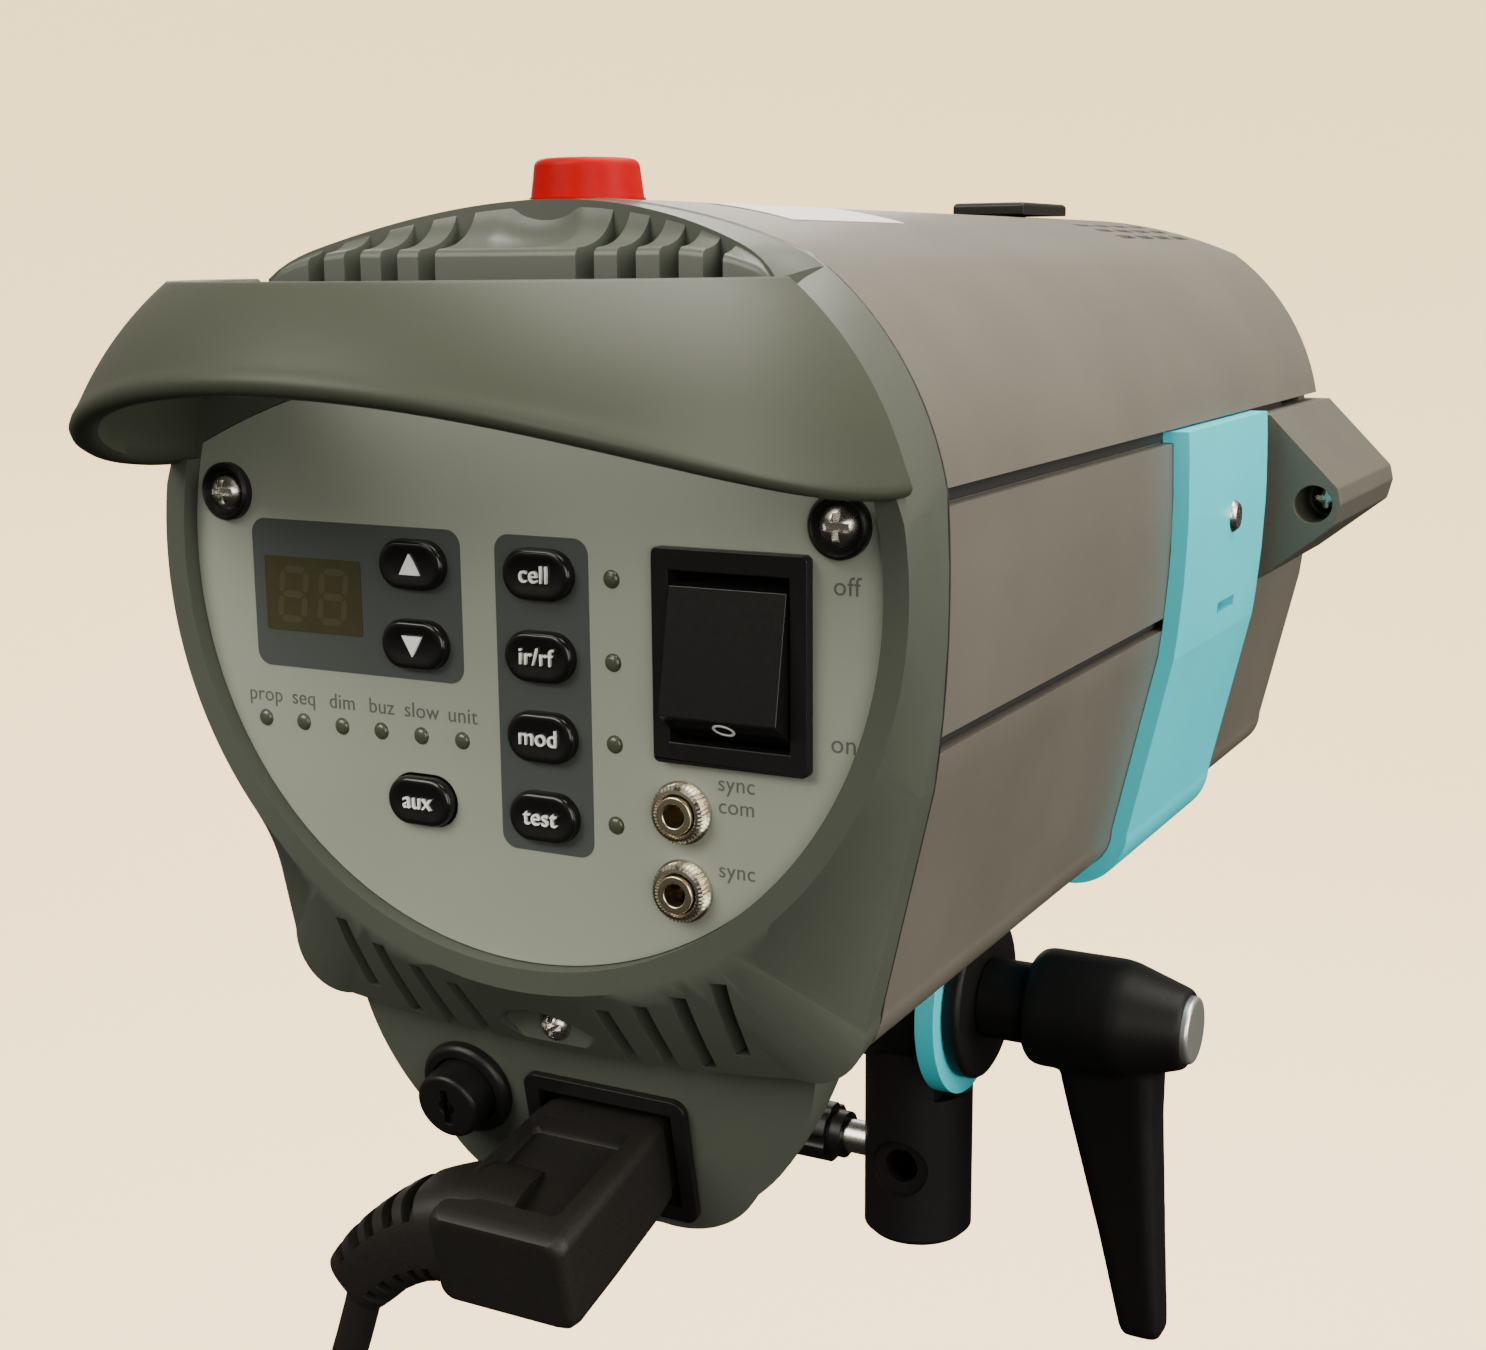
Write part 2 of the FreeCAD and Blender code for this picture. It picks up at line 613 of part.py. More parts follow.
def rear_housing():
    cap = rear_solid()
    cap = cap.cut(rear_loft(WALL + 0.6, PANEL_Y + PANEL_T + 2.6, BAND_Y + 2.4, SEAM_Y + 1))
    cap = cap.cut(slab(panel_wire(PANEL_Y - 10, SEAT), 10 + PANEL_T))
    cap = cap.cut(slab(panel_wire(PANEL_Y - 10, -PANEL_LEDGE), 30))
    posts = []
    for side in (-1, 1):
        posts.append(rod(POST_R, (side * SCREW_X, PANEL_Y + PANEL_T, PANEL_DATUM_Z + SCREW_Z), Y_AXIS, 10))
    cap = fuse([cap] + posts)
    for side in (-1, 1):
        cap = cap.cut(rod(1.9, (side * SCREW_X, PANEL_Y, PANEL_DATUM_Z + SCREW_Z), Y_AXIS, 10))
    cap = cap.cut(comb_prism(SEAT))
    for x in vent_xs():
        height = 16.5 - (abs(x) - VENT_START) * 0.1
        top = PANEL_DATUM_Z - 49.7 + (abs(x) ** 2 - VENT_START ** 2) * 0.0076
        cap = cap.cut(box(x - VENT_W / 2, x + VENT_W / 2, PANEL_Y - 4, SEAM_Y - 3, top - height, top))
    lens_depth = LOWER_SCREW_Y - PANEL_Y + 5
    lens = rod(12, (0, PANEL_Y - 5, LOWER_SCREW[1] + 7.4), Y_AXIS, lens_depth)
    lens = lens.common(rod(12, (0, PANEL_Y - 5, LOWER_SCREW[1] - 7.4), Y_AXIS, lens_depth))
    post = rod(4.4, (LOWER_SCREW[0], LOWER_SCREW_Y, LOWER_SCREW[1] + 1.2), Y_AXIS, 7)
    inside_skin = rear_loft(1.2, PANEL_Y, BAND_Y, SEAM_Y)
    cap = cap.fuse(post.common(inside_skin)).cut(lens)
    cap = cap.cut(rod(1.9, (LOWER_SCREW[0], PANEL_Y, LOWER_SCREW[1]), Y_AXIS, 30))
    cap = cap.cut(rod(DOME_R + SEAT, (0, DOME_Y, BODY_TOP_Z - 12), Z_AXIS, 20))
    cap = cap.cut(rod(DOME_R + 2.2, (0, DOME_Y, DOME_FLANGE_Z - SEAT), Z_AXIS, 2.4))
    return largest(cap)


def largest(shape):
    """The main solid, without loose chips left by trimming."""
    solids = sorted(shape.Solids, key=lambda s: s.Volume)
    return solids[-1]


def hood_section(degrees):
    """Closed section of the hood in the upright plane at this angle round from the centre."""
    a = math.radians(degrees)
    lip_x = HOOD_LIP_A * math.sin(a)
    lip_z = BROW_Z - (BROW_R - math.sqrt(BROW_R ** 2 - lip_x ** 2))
    lip = V(lip_x, PANEL_Y - SEAT - HOOD_LIP_B * math.cos(a), lip_z)
    top = V(HOOD_TOP_A * math.sin(a), PANEL_Y - SEAT - HOOD_TOP_B * math.cos(a), HOOD_TOP_Z)
    chord = top - lip
    across = Z_AXIS.cross(V(chord.x, chord.y, 0)).normalize()
    normal = chord.cross(across).normalize()
    if normal.z < 0:
        normal = normal * -1
    bulge = chord.Length ** 2 / (8 * HOOD_BULGE_R)
    middle = (lip + top) * 0.5 + normal * bulge
    inner = [p - normal * HOOD_T for p in (lip, middle, top)]
    edges = [
        Part.Arc(lip, middle, top).toShape(),
        Part.LineSegment(top, inner[2]).toShape(),
        Part.Arc(inner[2], inner[1], inner[0]).toShape(),
        Part.LineSegment(inner[0], lip).toShape(),
    ]
    return Part.Wire(edges)


def hood_handle():
    hood = Part.makeLoft([hood_section(a) for a in range(-90, 91, 15)], True, False)
    return largest(hood.cut(rear_solid()))


DOME_FLANGE_Z = BODY_TOP_Z - WALL - 3.2


def rear_vent_grille():
    x = COMB_HALF + 2
    y0 = PANEL_Y
    z1 = BODY_TOP_Z
    profile = [
        Part.LineSegment(V(-x, COMB_Y1, COMB_Z0), V(-x, y0, COMB_Z0)).toShape(),
        Part.LineSegment(V(-x, y0, COMB_Z0), V(-x, y0, z1 - 7.8)).toShape(),
        Part.Arc(V(-x, y0, z1 - 7.8), V(-x, y0 + 7.6, z1 - 5.6), V(-x, COMB_Y1, z1)).toShape(),
        Part.LineSegment(V(-x, COMB_Y1, z1), V(-x, COMB_Y1, COMB_Z0)).toShape(),
    ]
    block = Part.Face(Part.Wire(profile)).extrude(V(2 * x, 0, 0))
    block = block.common(comb_prism(0)).common(slab(body_wire(PANEL_Y - 5), 40))
    for gap_x in vent_xs():
        block = block.cut(box(gap_x - COMB_W / 2, gap_x + COMB_W / 2, y0 - 5, COMB_Y1 - 3.2, COMB_Z0 + 1.6, z1 + 5))
    block = block.cut(Part.makeSphere(14, V(0, PANEL_Y + 4, z1 + 6)))
    return largest(block)


def photocell_dome():
    lens = Part.makeCone(DOME_R, DOME_R - 1.0, DOME_H, V(0, DOME_Y, BODY_TOP_Z - 2), Z_AXIS)
    top_edge = [e for e in lens.Edges if abs(e.CenterOfMass.z - BODY_TOP_Z + 2 - DOME_H) < 1e-6]
    lens = lens.makeFillet(1.4, top_edge)
    flange = rod(DOME_R + 2, (0, DOME_Y, DOME_FLANGE_Z), Z_AXIS, 2.0)
    stem = rod(DOME_R, (0, DOME_Y, DOME_FLANGE_Z), Z_AXIS, BODY_TOP_Z - DOME_FLANGE_Z)
    return fuse([lens, stem, flange])


# ---------------------------------------------------------------- panel
def panel_at(x, z):
    return (x, PANEL_DATUM_Z + z)


def control_panel():
    plate = slab(panel_wire(PANEL_Y), PANEL_T)
    y0 = PANEL_Y - 1
    y1 = PANEL_Y + PANEL_T + 1
    cuts = []
    for x, z in BUTTONS.values():
        px, pz = panel_at(x, z)
        cuts.append(pill(px, pz, BUTTON_L + 2 * AIR, BUTTON_W + 2 * AIR, y0, y1))
    for x, z in LED_ROW + LED_COLUMN:
        px, pz = panel_at(x, z)
        cuts.append(rod(LED_R, (px, y0, pz), Y_AXIS, y1 - y0))
    x0, x1, z0, z1 = DISPLAY
    cuts.append(box(x0, x1, y0, y1, PANEL_DATUM_Z + z0, PANEL_DATUM_Z + z1))
    sx, sz = panel_at(*SWITCH_C)
    half_w = SWITCH_W / 2 - 1.5
    half_h = SWITCH_H / 2 - 1.5
    cuts.append(box(sx - half_w, sx + half_w, y0, y1, sz - half_h, sz + half_h))
    for x, z in JACKS:
        px, pz = panel_at(x, z)
        cuts.append(rod(3.0, (px, y0, pz), Y_AXIS, y1 - y0))
    for side in (-1, 1):
        cuts.append(rod(2.1, (side * SCREW_X, y0, PANEL_DATUM_Z + SCREW_Z), Y_AXIS, y1 - y0))
    return plate.cut(Part.makeCompound(cuts))


def push_button(x, z):
    px, pz = panel_at(x, z)
    cap = pill(px, pz, BUTTON_L, BUTTON_W, PANEL_Y - BUTTON_PROUD, PANEL_Y + PANEL_T + 0.5)
    front = [
        e for e in cap.Edges
        if abs(e.BoundBox.YMin - PANEL_Y + BUTTON_PROUD) < 1e-6 and e.BoundBox.YLength < 1e-6
    ]
    cap = cap.makeFillet(1.2, front)
    back = PANEL_Y + PANEL_T
    flange = pill(px, pz, BUTTON_L + 2.0, BUTTON_W + 2.0, back + AIR, back + AIR + 1.0)
    return fuse([cap, flange])


BOARD_Y = PANEL_Y + PANEL_T + AIR + 1.0 + BUTTON_TRAVEL + 0.6


def button_board():
    board = rounded_bar(-53, 22, BOARD_Y, BOARD_Y + 1.6, PANEL_DATUM_Z - 27, PANEL_DATUM_Z + 26, 2)
    board = board.common(slab(panel_wire(BOARD_Y - 1, -PANEL_LEDGE - 1), 4))
    return board.cut(rod(POST_R + 0.5, (-SCREW_X, BOARD_Y - 1, PANEL_DATUM_Z + SCREW_Z), Y_AXIS, 4))


def indicator_leds():
    leds = []
    for x, z in LED_ROW + LED_COLUMN:
        px, pz = panel_at(x, z)
        body = rod(LED_R, (px, PANEL_Y, pz), Y_AXIS, BOARD_Y - PANEL_Y)
        leds.append(body)
    return Part.makeCompound(leds)


def display_window():
    x0, x1, z0, z1 = DISPLAY
    return box(x0, x1, PANEL_Y + 0.2, PANEL_Y + PANEL_T, PANEL_DATUM_Z + z0, PANEL_DATUM_Z + z1)


def display_module():
    x0, x1, z0, z1 = DISPLAY
    return box(x0 + 0.4, x1 - 0.4, PANEL_Y + PANEL_T, BOARD_Y, PANEL_DATUM_Z + z0 + 0.4, PANEL_DATUM_Z + z1 - 0.4)


def switch_frame():
    sx, sz = panel_at(*SWITCH_C)
    bezel = rounded_bar(sx - SWITCH_W / 2, sx + SWITCH_W / 2, PANEL_Y - SWITCH_PROUD, PANEL_Y,
                        sz - SWITCH_H / 2, sz + SWITCH_H / 2, 1.0)
    half_w = SWITCH_W / 2 - 1.6
    half_h = SWITCH_H / 2 - 1.6
    body = box(sx - half_w, sx + half_w, PANEL_Y, PANEL_Y + 22, sz - half_h, sz + half_h)
    hollow_w = ROCKER_W / 2 + AIR
    hollow_h = ROCKER_H / 2 + 2 * AIR
    hollow = box(sx - hollow_w, sx + hollow_w, PANEL_Y - 5, PANEL_Y + 14, sz - hollow_h, sz + hollow_h)
    frame = fuse([bezel, body]).cut(hollow)
    pins = [
        rod(1.4, (sx + side * hollow_w, ROCKER_Y, sz), V(-side, 0, 0), 1.6)
        for side in (-1, 1)
    ]
    tabs = [box(sx - 3.2, sx + 3.2, PANEL_Y + 22, PANEL_Y + 30, sz + dz, sz + dz + 0.8) for dz in (-8, 0, 8)]
    return fuse([frame] + pins + tabs)


ROCKER_Y = PANEL_Y + 2.6


def rocker():
    sx, sz = panel_at(*SWITCH_C)
    half_w = ROCKER_W / 2
    half_h = ROCKER_H / 2
    front = PANEL_Y - SWITCH_PROUD - 2.2
    back = PANEL_Y + 5.0
    points = [
        V(sx - half_w, back, -half_h * 0.55), V(sx - half_w, PANEL_Y + 1.2, -half_h),
        V(sx - half_w, front, -half_h * 0.78), V(sx - half_w, front, half_h * 0.78),
        V(sx - half_w, PANEL_Y + 1.2, half_h), V(sx - half_w, back, half_h * 0.55),
    ]
    paddle = Part.Face(Part.makePolygon(points + points[:1])).extrude(V(ROCKER_W, 0, 0))
    paddle.translate(V(0, 0, sz))
    paddle = paddle.cut(rod(1.4 + RUN, (sx - half_w - 1, ROCKER_Y, sz), X_AXIS, ROCKER_W + 2))
    paddle.rotate(V(sx, ROCKER_Y, sz), X_AXIS, -ROCKER_TILT)
    return paddle


def jack_sockets():
    jacks = []
    for x, z in JACKS:
        px, pz = panel_at(x, z)
        barrel = rod(2.95, (px, PANEL_Y - 3.2, pz), Y_AXIS, JACK_DEPTH + 1)
        barrel = barrel.fuse(rod(4.2, (px, PANEL_Y + PANEL_T + 0.1, pz), Y_AXIS, 11)).removeSplitter()
        jacks.append(barrel.cut(rod(JACK_BORE_R, (px, PANEL_Y - 4, pz), Y_AXIS, JACK_DEPTH + 0.8)))
    return Part.makeCompound(jacks)


def jack_nuts():
    nuts = []
    for x, z in JACKS:
        px, pz = panel_at(x, z)
        nut = rod(4.2, (px, PANEL_Y - 2.6, pz), Y_AXIS, 2.0)
        nut = nut.fuse(rod(5.0, (px, PANEL_Y - 0.7, pz), Y_AXIS, 0.7)).removeSplitter()
        nuts.append(nut.cut(rod(2.95 + 0.05, (px, PANEL_Y - 4, pz), Y_AXIS, 6)))
    return Part.makeCompound(nuts)


def cup_washers():
    washers = []
    for side in (-1, 1):
        start = (side * SCREW_X, PANEL_Y - 1.8, PANEL_DATUM_Z + SCREW_Z)
        cup = rod(CUP_R, start, Y_AXIS, 1.8)
        cup = cup.makeChamfer(0.5, [e for e in cup.Edges if abs(e.CenterOfMass.y - start[1]) < 1e-6])
        dish = Part.makeCone(4.1, 3.4, 1.2, V(*start), Y_AXIS)
        cup = cup.cut(dish).cut(rod(2.1, start, Y_AXIS, 3))
        washers.append(cup)
    return Part.makeCompound(washers)


def panel_screws():
    screws = [
        pan_screw(side * SCREW_X, PANEL_DATUM_Z + SCREW_Z, PANEL_Y - 0.6, 3.2, 2.0, 1.8, 9)
        for side in (-1, 1)
    ]
    screws.append(pan_screw(LOWER_SCREW[0], LOWER_SCREW[1], LOWER_SCREW_Y, 2.9, 2.0, 1.8, 7))
    return Part.makeCompound(screws)


# ---------------------------------------------------------------- mains compartment
def chin_half(scale_x, bottom):
    w = CHIN_HALF_W * scale_x
    top = BODY_BOTTOM_Z + 1
    rise = top - bottom
    return [
        (0, top),
        (w, top),
        ((w * 0.925, bottom + rise * 0.61), (w * 0.70, bottom + rise * 0.26)),
        ((w * 0.53, bottom + rise * 0.06), (w * 0.27, bottom)),
        (0, bottom),
    ]


CHIN_STATIONS = [(-152.0, 1.0, 0.0), (-128.0, 0.93, 4.0), (-97.0, 0.66, 20.0), (-74.0, 0.42, 34.0)]


def chin_loft(inset):
    wires = []
    for y, scale, lift in CHIN_STATIONS:
        width = scale * (CHIN_HALF_W - inset) / CHIN_HALF_W
        wires.append(outline(chin_half(width, CHIN_BOTTOM_Z + lift + inset), y))
    return Part.makeLoft(wires, True, False)


def chin_housing():
    chin = chin_loft(0)
    behind = box(-WIDE, WIDE, -WIDE, 0, -WIDE, WIDE)
    chin = chin.cut(on_chin(behind, 0, BODY_BOTTOM_Z - 4))
    hollow = chin_loft(2.6)
    hollow_front = on_chin(box(-WIDE, WIDE, -WIDE, 3.0, -WIDE, WIDE), 0, BODY_BOTTOM_Z - 4)
    chin = chin.cut(hollow.cut(hollow_front))
    chin = chin.common(between(0, BODY_BOTTOM_Z - SEAT))
    chin = chin.cut(rear_loft(0, PANEL_Y - RIM_PROUD, BAND_Y, SEAM_Y))
    opening = box(-INLET_W / 2 + 1.2, INLET_W / 2 - 1.2, -6, 8, -INLET_H / 2 + 1.2, INLET_H / 2 - 1.2)
    chin = chin.cut(on_chin(opening, INLET_X, INLET_Z))
    chin = chin.cut(on_chin(rod(FUSE_RING_R - 1.4, (0, -6, 0), Y_AXIS, 14), FUSE_X, FUSE_Z))
    return largest(chin)


def mains_inlet():
    flange = rounded_bar(-INLET_W / 2, INLET_W / 2, -1.4, 0, -INLET_H / 2, INLET_H / 2, 2.5)
    body = box(-INLET_W / 2 + 2, INLET_W / 2 - 2, 0, 16, -INLET_H / 2 + 2, INLET_H / 2 - 2)
    well_w = PLUG_W / 2 + 0.9
    well_h = PLUG_H / 2 + 0.9
    inlet = fuse([flange, body]).cut(box(-well_w, well_w, -4, 14, -well_h, well_h))
    pins = [box(x - 1, x + 1, 1.5, 15, -2 + dz, 2 + dz) for x, dz in ((-7, 1.5), (0, -2), (7, 1.5))]
    return on_chin(fuse([inlet] + pins), INLET_X, INLET_Z)


def fuse_holder():
    ring = tube(FUSE_RING_R, FUSE_CAP_R + AIR, (0, -2.2, 0), Y_AXIS, 2.2)
    edge = [e for e in ring.Edges if abs(e.CenterOfMass.y + 2.2) < 1e-6 and e.Length > 2 * math.pi * 8]
    ring = ring.makeChamfer(0.8, edge)
    barrel = tube(FUSE_RING_R - 1.5, FUSE_CAP_R - 1.1, (0, 0, 0), Y_AXIS, 24)
    seat = rod(FUSE_CAP_R + AIR, (0, -3, 0), Y_AXIS, 4.0)
    holder = fuse([ring, barrel]).cut(seat)
    return on_chin(holder, FUSE_X, FUSE_Z)


def fuse_cap():
    cap = rod(FUSE_CAP_R, (0, -7.6, 0), Y_AXIS, 8.2)
    edge = [e for e in cap.Edges if abs(e.CenterOfMass.y + 7.6) < 1e-6]
    cap = cap.makeFillet(0.9, edge)
    stem = rod(FUSE_CAP_R - 1.1 - 0.08, (0, 0.6, 0), Y_AXIS, 8)
    slot = box(-0.7, 0.7, -9, -6.2, -3.4, 3.4)
    eye = rod(1.5, (0, -9, 0), Y_AXIS, 2.6)
    bore = rod(2.7, (0, 0, 0), Y_AXIS, 10)
    cap = fuse([cap, stem]).cut(slot).cut(eye).cut(bore)
    return on_chin(cap, FUSE_X, FUSE_Z)


def glass_fuse():
    return on_chin(rod(2.55, (0, 0.3, 0), Y_AXIS, 20), FUSE_X, FUSE_Z)


CONNECTOR_OUT = 36.0
CONNECTOR_X0 = -9.0
CONNECTOR_X1 = 12.0
CONNECTOR_HALF_H = 8.6


def mains_connector():
    nose = rounded_bar(-PLUG_W / 2, PLUG_W / 2, -1.8, 13.2, -PLUG_H / 2, PLUG_H / 2, 2.0)
    for x, dz in ((-7, 1.5), (0, -2), (7, 1.5)):
        nose = nose.cut(box(x - 1.2, x + 1.2, 0.5, 15, -2.2 + dz, 2.2 + dz))
    block = box(CONNECTOR_X0, CONNECTOR_X1, -CONNECTOR_OUT, -1.6, -CONNECTOR_HALF_H, CONNECTOR_HALF_H)
    corners = [e for e in block.Edges if e.Length > CONNECTOR_X1 - CONNECTOR_X0 - 1]
    block = block.makeFillet(1.6, corners)
    grip = box(CONNECTOR_X0 + 1, CONNECTOR_X1 - 4, -CONNECTOR_OUT + 6, -8, CONNECTOR_HALF_H - 1.2, CONNECTOR_HALF_H + 2)
    return on_chin(fuse([nose, block]).cut(grip), INLET_X, INLET_Z)


def relief_stations():
    """Centre, direction and radius along the curved strain relief, from the connector to the cord."""
    end = V(*CORD_ROUTE[0])
    start = on_chin(Part.Vertex(CONNECTOR_X0 + 1.0, -26, 0), INLET_X, INLET_Z).Point
    leave = (V(*CORD_ROUTE[1]) - end).normalize()
    corner = end - leave * 10
    stations = []
    for i in range(6):
        t = i / 5
        centre = start * (1 - t) ** 2 + corner * (2 * t * (1 - t)) + end * t ** 2
        heading = (corner - start) * (1 - t) + (end - corner) * t
        stations.append((centre, heading.normalize(), 8.2 - 2.9 * t))
    return stations


def cord_strain_relief():
    wires = []
    for centre, heading, radius in relief_stations():
        wires.append(Part.Wire(Part.Circle(centre, heading, radius).toShape()))
    relief = Part.makeLoft(wires, True, False)
    block = box(CONNECTOR_X0, CONNECTOR_X1, -CONNECTOR_OUT, -1.6, -CONNECTOR_HALF_H, CONNECTOR_HALF_H)
    return largest(relief.cut(on_chin(block, INLET_X, INLET_Z)))


# ---------------------------------------------------------------- mains lead
def cord_path(route):
    """Straight runs joined by tangent arcs; the arcs take 0.45 of the shorter run."""
    points = [V(*p) for p in route]
    edges = []
    cursor = points[0]
    radii = []
    for before, corner, after in zip(points, points[1:], points[2:]):
        a = before - corner
        b = after - corner
        reach = 0.45 * min(a.Length, b.Length)
        turn = math.pi - a.getAngle(b)
        radius = reach / math.tan(turn / 2)
        radii.append(round(radius, 1))
        a.normalize()
        b.normalize()
        start = corner + a * reach
        end = corner + b * reach
        toward = (a + b).normalize()
        centre = corner + toward * (radius / math.cos(turn / 2))
        middle = centre - toward * radius
        edges.append(Part.LineSegment(cursor, start).toShape())
        edges.append(Part.Arc(start, middle, end).toShape())
        cursor = end
    edges.append(Part.LineSegment(cursor, points[-1]).toShape())
    print("cord radii", radii)
    return Part.Wire(edges)


def mains_cord():
    path = cord_path(CORD_ROUTE)
    heading = V(*CORD_ROUTE[1]) - V(*CORD_ROUTE[0])
    section = Part.Wire(Part.Circle(V(*CORD_ROUTE[0]), heading, CORD_R).toShape())
    cord = path.makePipeShell([section], True, True)
    expected = math.pi * CORD_R ** 2 * path.Length
    print("cord volume", round(cord.Volume), "section x length", round(expected), "length", round(path.Length))
    return cord


def coil_half_width():
    return COIL_COLUMNS * COIL_PITCH / 2 + CORD_R


def cord_coil():
    cx, cy, cz = COIL_C
    half = coil_half_width()
    outer = COIL_R + CORD_R
    inner = COIL_R - (COIL_LAYERS - 1) * COIL_PITCH - CORD_R
    ring = tube(outer, inner, (cx, cy - half, cz), Y_AXIS, 2 * half)
    return ring.makeChamfer(3.0, [e for e in ring.Edges if e.BoundBox.YLength < 1e-6])


PLUG_X = 15.0
PLUG_Y = COIL_C[1] + coil_half_width() + 17.5
PLUG_Z = COIL_C[2] + 8.0  # where the lead enters the plug, whose pins point up
PLUG_RELIEF_L = 20.0
PLUG_NECK_L = 14.0
PLUG_BODY_L = 26.0
PIN_L = 19.0
PIN_R = 2.4
PIN_PITCH = 19.0


def mains_plug():
    neck_z = PLUG_Z + PLUG_RELIEF_L
    body_z = neck_z + PLUG_NECK_L
    relief = Part.makeCone(4.0, 5.5, PLUG_RELIEF_L, V(PLUG_X, PLUG_Y, PLUG_Z), Z_AXIS)
    neck = Part.makeCone(6.5, 11, PLUG_NECK_L, V(PLUG_X, PLUG_Y, neck_z), Z_AXIS)
    body = rod(18.5, (PLUG_X, PLUG_Y, body_z), Z_AXIS, PLUG_BODY_L)
    body = body.common(box(PLUG_X - WIDE, PLUG_X + WIDE, PLUG_Y - 14.5, PLUG_Y + 14.5, body_z, body_z + WIDE))
    return fuse([body, neck, relief])


def plug_pins():
    face_z = PLUG_Z + PLUG_RELIEF_L + PLUG_NECK_L + PLUG_BODY_L
    pins = []
    for side in (-1, 1):
        pin = rod(PIN_R, (PLUG_X + side * PIN_PITCH / 2, PLUG_Y, face_z), Z_AXIS, PIN_L)
        tip = [e for e in pin.Edges if abs(e.CenterOfMass.z - face_z - PIN_L) < 1e-6]
        pins.append(pin.makeFillet(1.6, tip))
    return Part.makeCompound(pins)


# ---------------------------------------------------------------- front end
def ear_half_profile():
    """Section of the right-hand ear, in X and Z."""
    w = BODY_HALF_W
    z = PANEL_DATUM_Z
    return [(w - 5, z - 6), (w + 1.1, z - 6), (w + 17.2, z + 6.8), (w + 18.4, z + 11.5),
            (w + 17.6, z + 15.0), (w + 2.1, z + 30.8), (w - 5, z + 30.8)]


EAR_HOLE = (12.3, 11.3)   # outwards from the body's side, and above the panel datum


def ear(side):
    points = [V(x, EAR_Y0, z) for x, z in ear_half_profile()]
    block = Part.Face(Part.makePolygon(points + points[:1])).extrude(V(0, EAR_Y1 - EAR_Y0, 0))
    edges = [
        e for e in block.Edges
        if abs(abs(e.tangentAt(e.FirstParameter).y) - 1) < 1e-6 and e.CenterOfMass.x > BODY_HALF_W + 16.5
    ]
    block = block.makeFillet(1.6, edges)
    hole_x = BODY_HALF_W + EAR_HOLE[0]
    hole_z = PANEL_DATUM_Z + EAR_HOLE[1]
    block = block.cut(rod(EAR_HOLE_R, (hole_x, EAR_Y0 - 1, hole_z), Y_AXIS, 16))
    block = block.cut(rod(2.1, (hole_x, EAR_Y0, hole_z), Y_AXIS, EAR_Y1))
    return block if side > 0 else mirrored(block)


PLATE_Y = BODY_FRONT_Y - 6


def front_frame():
    plate = slab(grown(body_wire(PLATE_Y), -WALL - SEAT), 6)
    plate = plate.cut(rod(BAYONET_BORE, (0, PLATE_Y - 1, LAMP_Z), Y_AXIS, 8))
    plate = plate.cut(rod(BAYONET_R + SEAT, (0, BODY_FRONT_Y - 2.5, LAMP_Z), Y_AXIS, 4))
    sleeve = slab(grown(body_wire(EAR_Y0), -WALL - SEAT), BODY_FRONT_Y - EAR_Y0)
    sleeve = sleeve.cut(slab(grown(body_wire(EAR_Y0), -WALL - SEAT - 2), BODY_FRONT_Y - EAR_Y0))
    sleeve = sleeve.common(between(SEAM_Z + SEAM_H, GROOVE_Z))
    frame = fuse([plate, sleeve, ear(1), ear(-1)])
    return largest(frame.cut(rod(BAYONET_BORE, (0, EAR_Y0 - 1, LAMP_Z), Y_AXIS, WIDE)))


def ear_screws():
    screws = []
    for side in (-1, 1):
        x = side * (BODY_HALF_W + EAR_HOLE[0])
        screws.append(pan_screw(x, PANEL_DATUM_Z + EAR_HOLE[1], EAR_Y0 + 15, 3.6, 2.4, 2.0, 30))
    return Part.makeCompound(screws)


def bayonet_ring():
    y0 = BODY_FRONT_Y - 2.5
    ring = tube(BAYONET_R, BAYONET_BORE, (0, y0, LAMP_Z), Y_AXIS, 4)
    collar = tube(BAYONET_BORE + 2.6, BAYONET_BORE, (0, y0 + 4, LAMP_Z), Y_AXIS, 6)
    lugs = []
    for i in range(3):
        lug = box(-7, 7, y0 + 7.5, y0 + 10, LAMP_Z + BAYONET_BORE + 1, LAMP_Z + BAYONET_BORE + 5)
        lug.rotate(V(0, 0, LAMP_Z), Y_AXIS, 120 * i)
        lugs.append(lug)
    return fuse([ring, collar] + lugs)


def reflector_release():
    half = RELEASE_W / 2
    foot_z = BODY_TOP_Z + AIR
    cap = box(-half, half, RELEASE_Y0, RELEASE_Y0 + RELEASE_L, foot_z, foot_z + RELEASE_H)
    edges = [e for e in cap.Edges if e.CenterOfMass.z > foot_z + RELEASE_H / 2]
    cap = cap.makeFillet(1.0, edges)
    stem = box(-2.4, 2.4, STEM_Y0, STEM_Y1, BODY_TOP_Z - 7, foot_z + 0.5)
    return fuse([cap, stem])


# ---------------------------------------------------------------- lamp
def lamp_base_plate():
    plate = rod(BAYONET_BORE - 1, (0, PLATE_Y - 14, LAMP_Z), Y_AXIS, 2)
    wall = tube(BAYONET_BORE - 1, BAYONET_BORE - 2.4, (0, PLATE_Y - 14, LAMP_Z), Y_AXIS, 12)
    flange = tube(BAYONET_BORE + 4, BAYONET_BORE - 2.4, (0, PLATE_Y - 2, LAMP_Z), Y_AXIS, 2)
    plate = fuse([plate, wall, flange])
    plate = plate.cut(rod(13.1, (0, PLATE_Y - 15, LAMP_Z), Y_AXIS, 4))
    for x in (-27, 27):
        plate = plate.cut(rod(3.4, (x, PLATE_Y - 15, LAMP_Z), Y_AXIS, 4))
    return plate


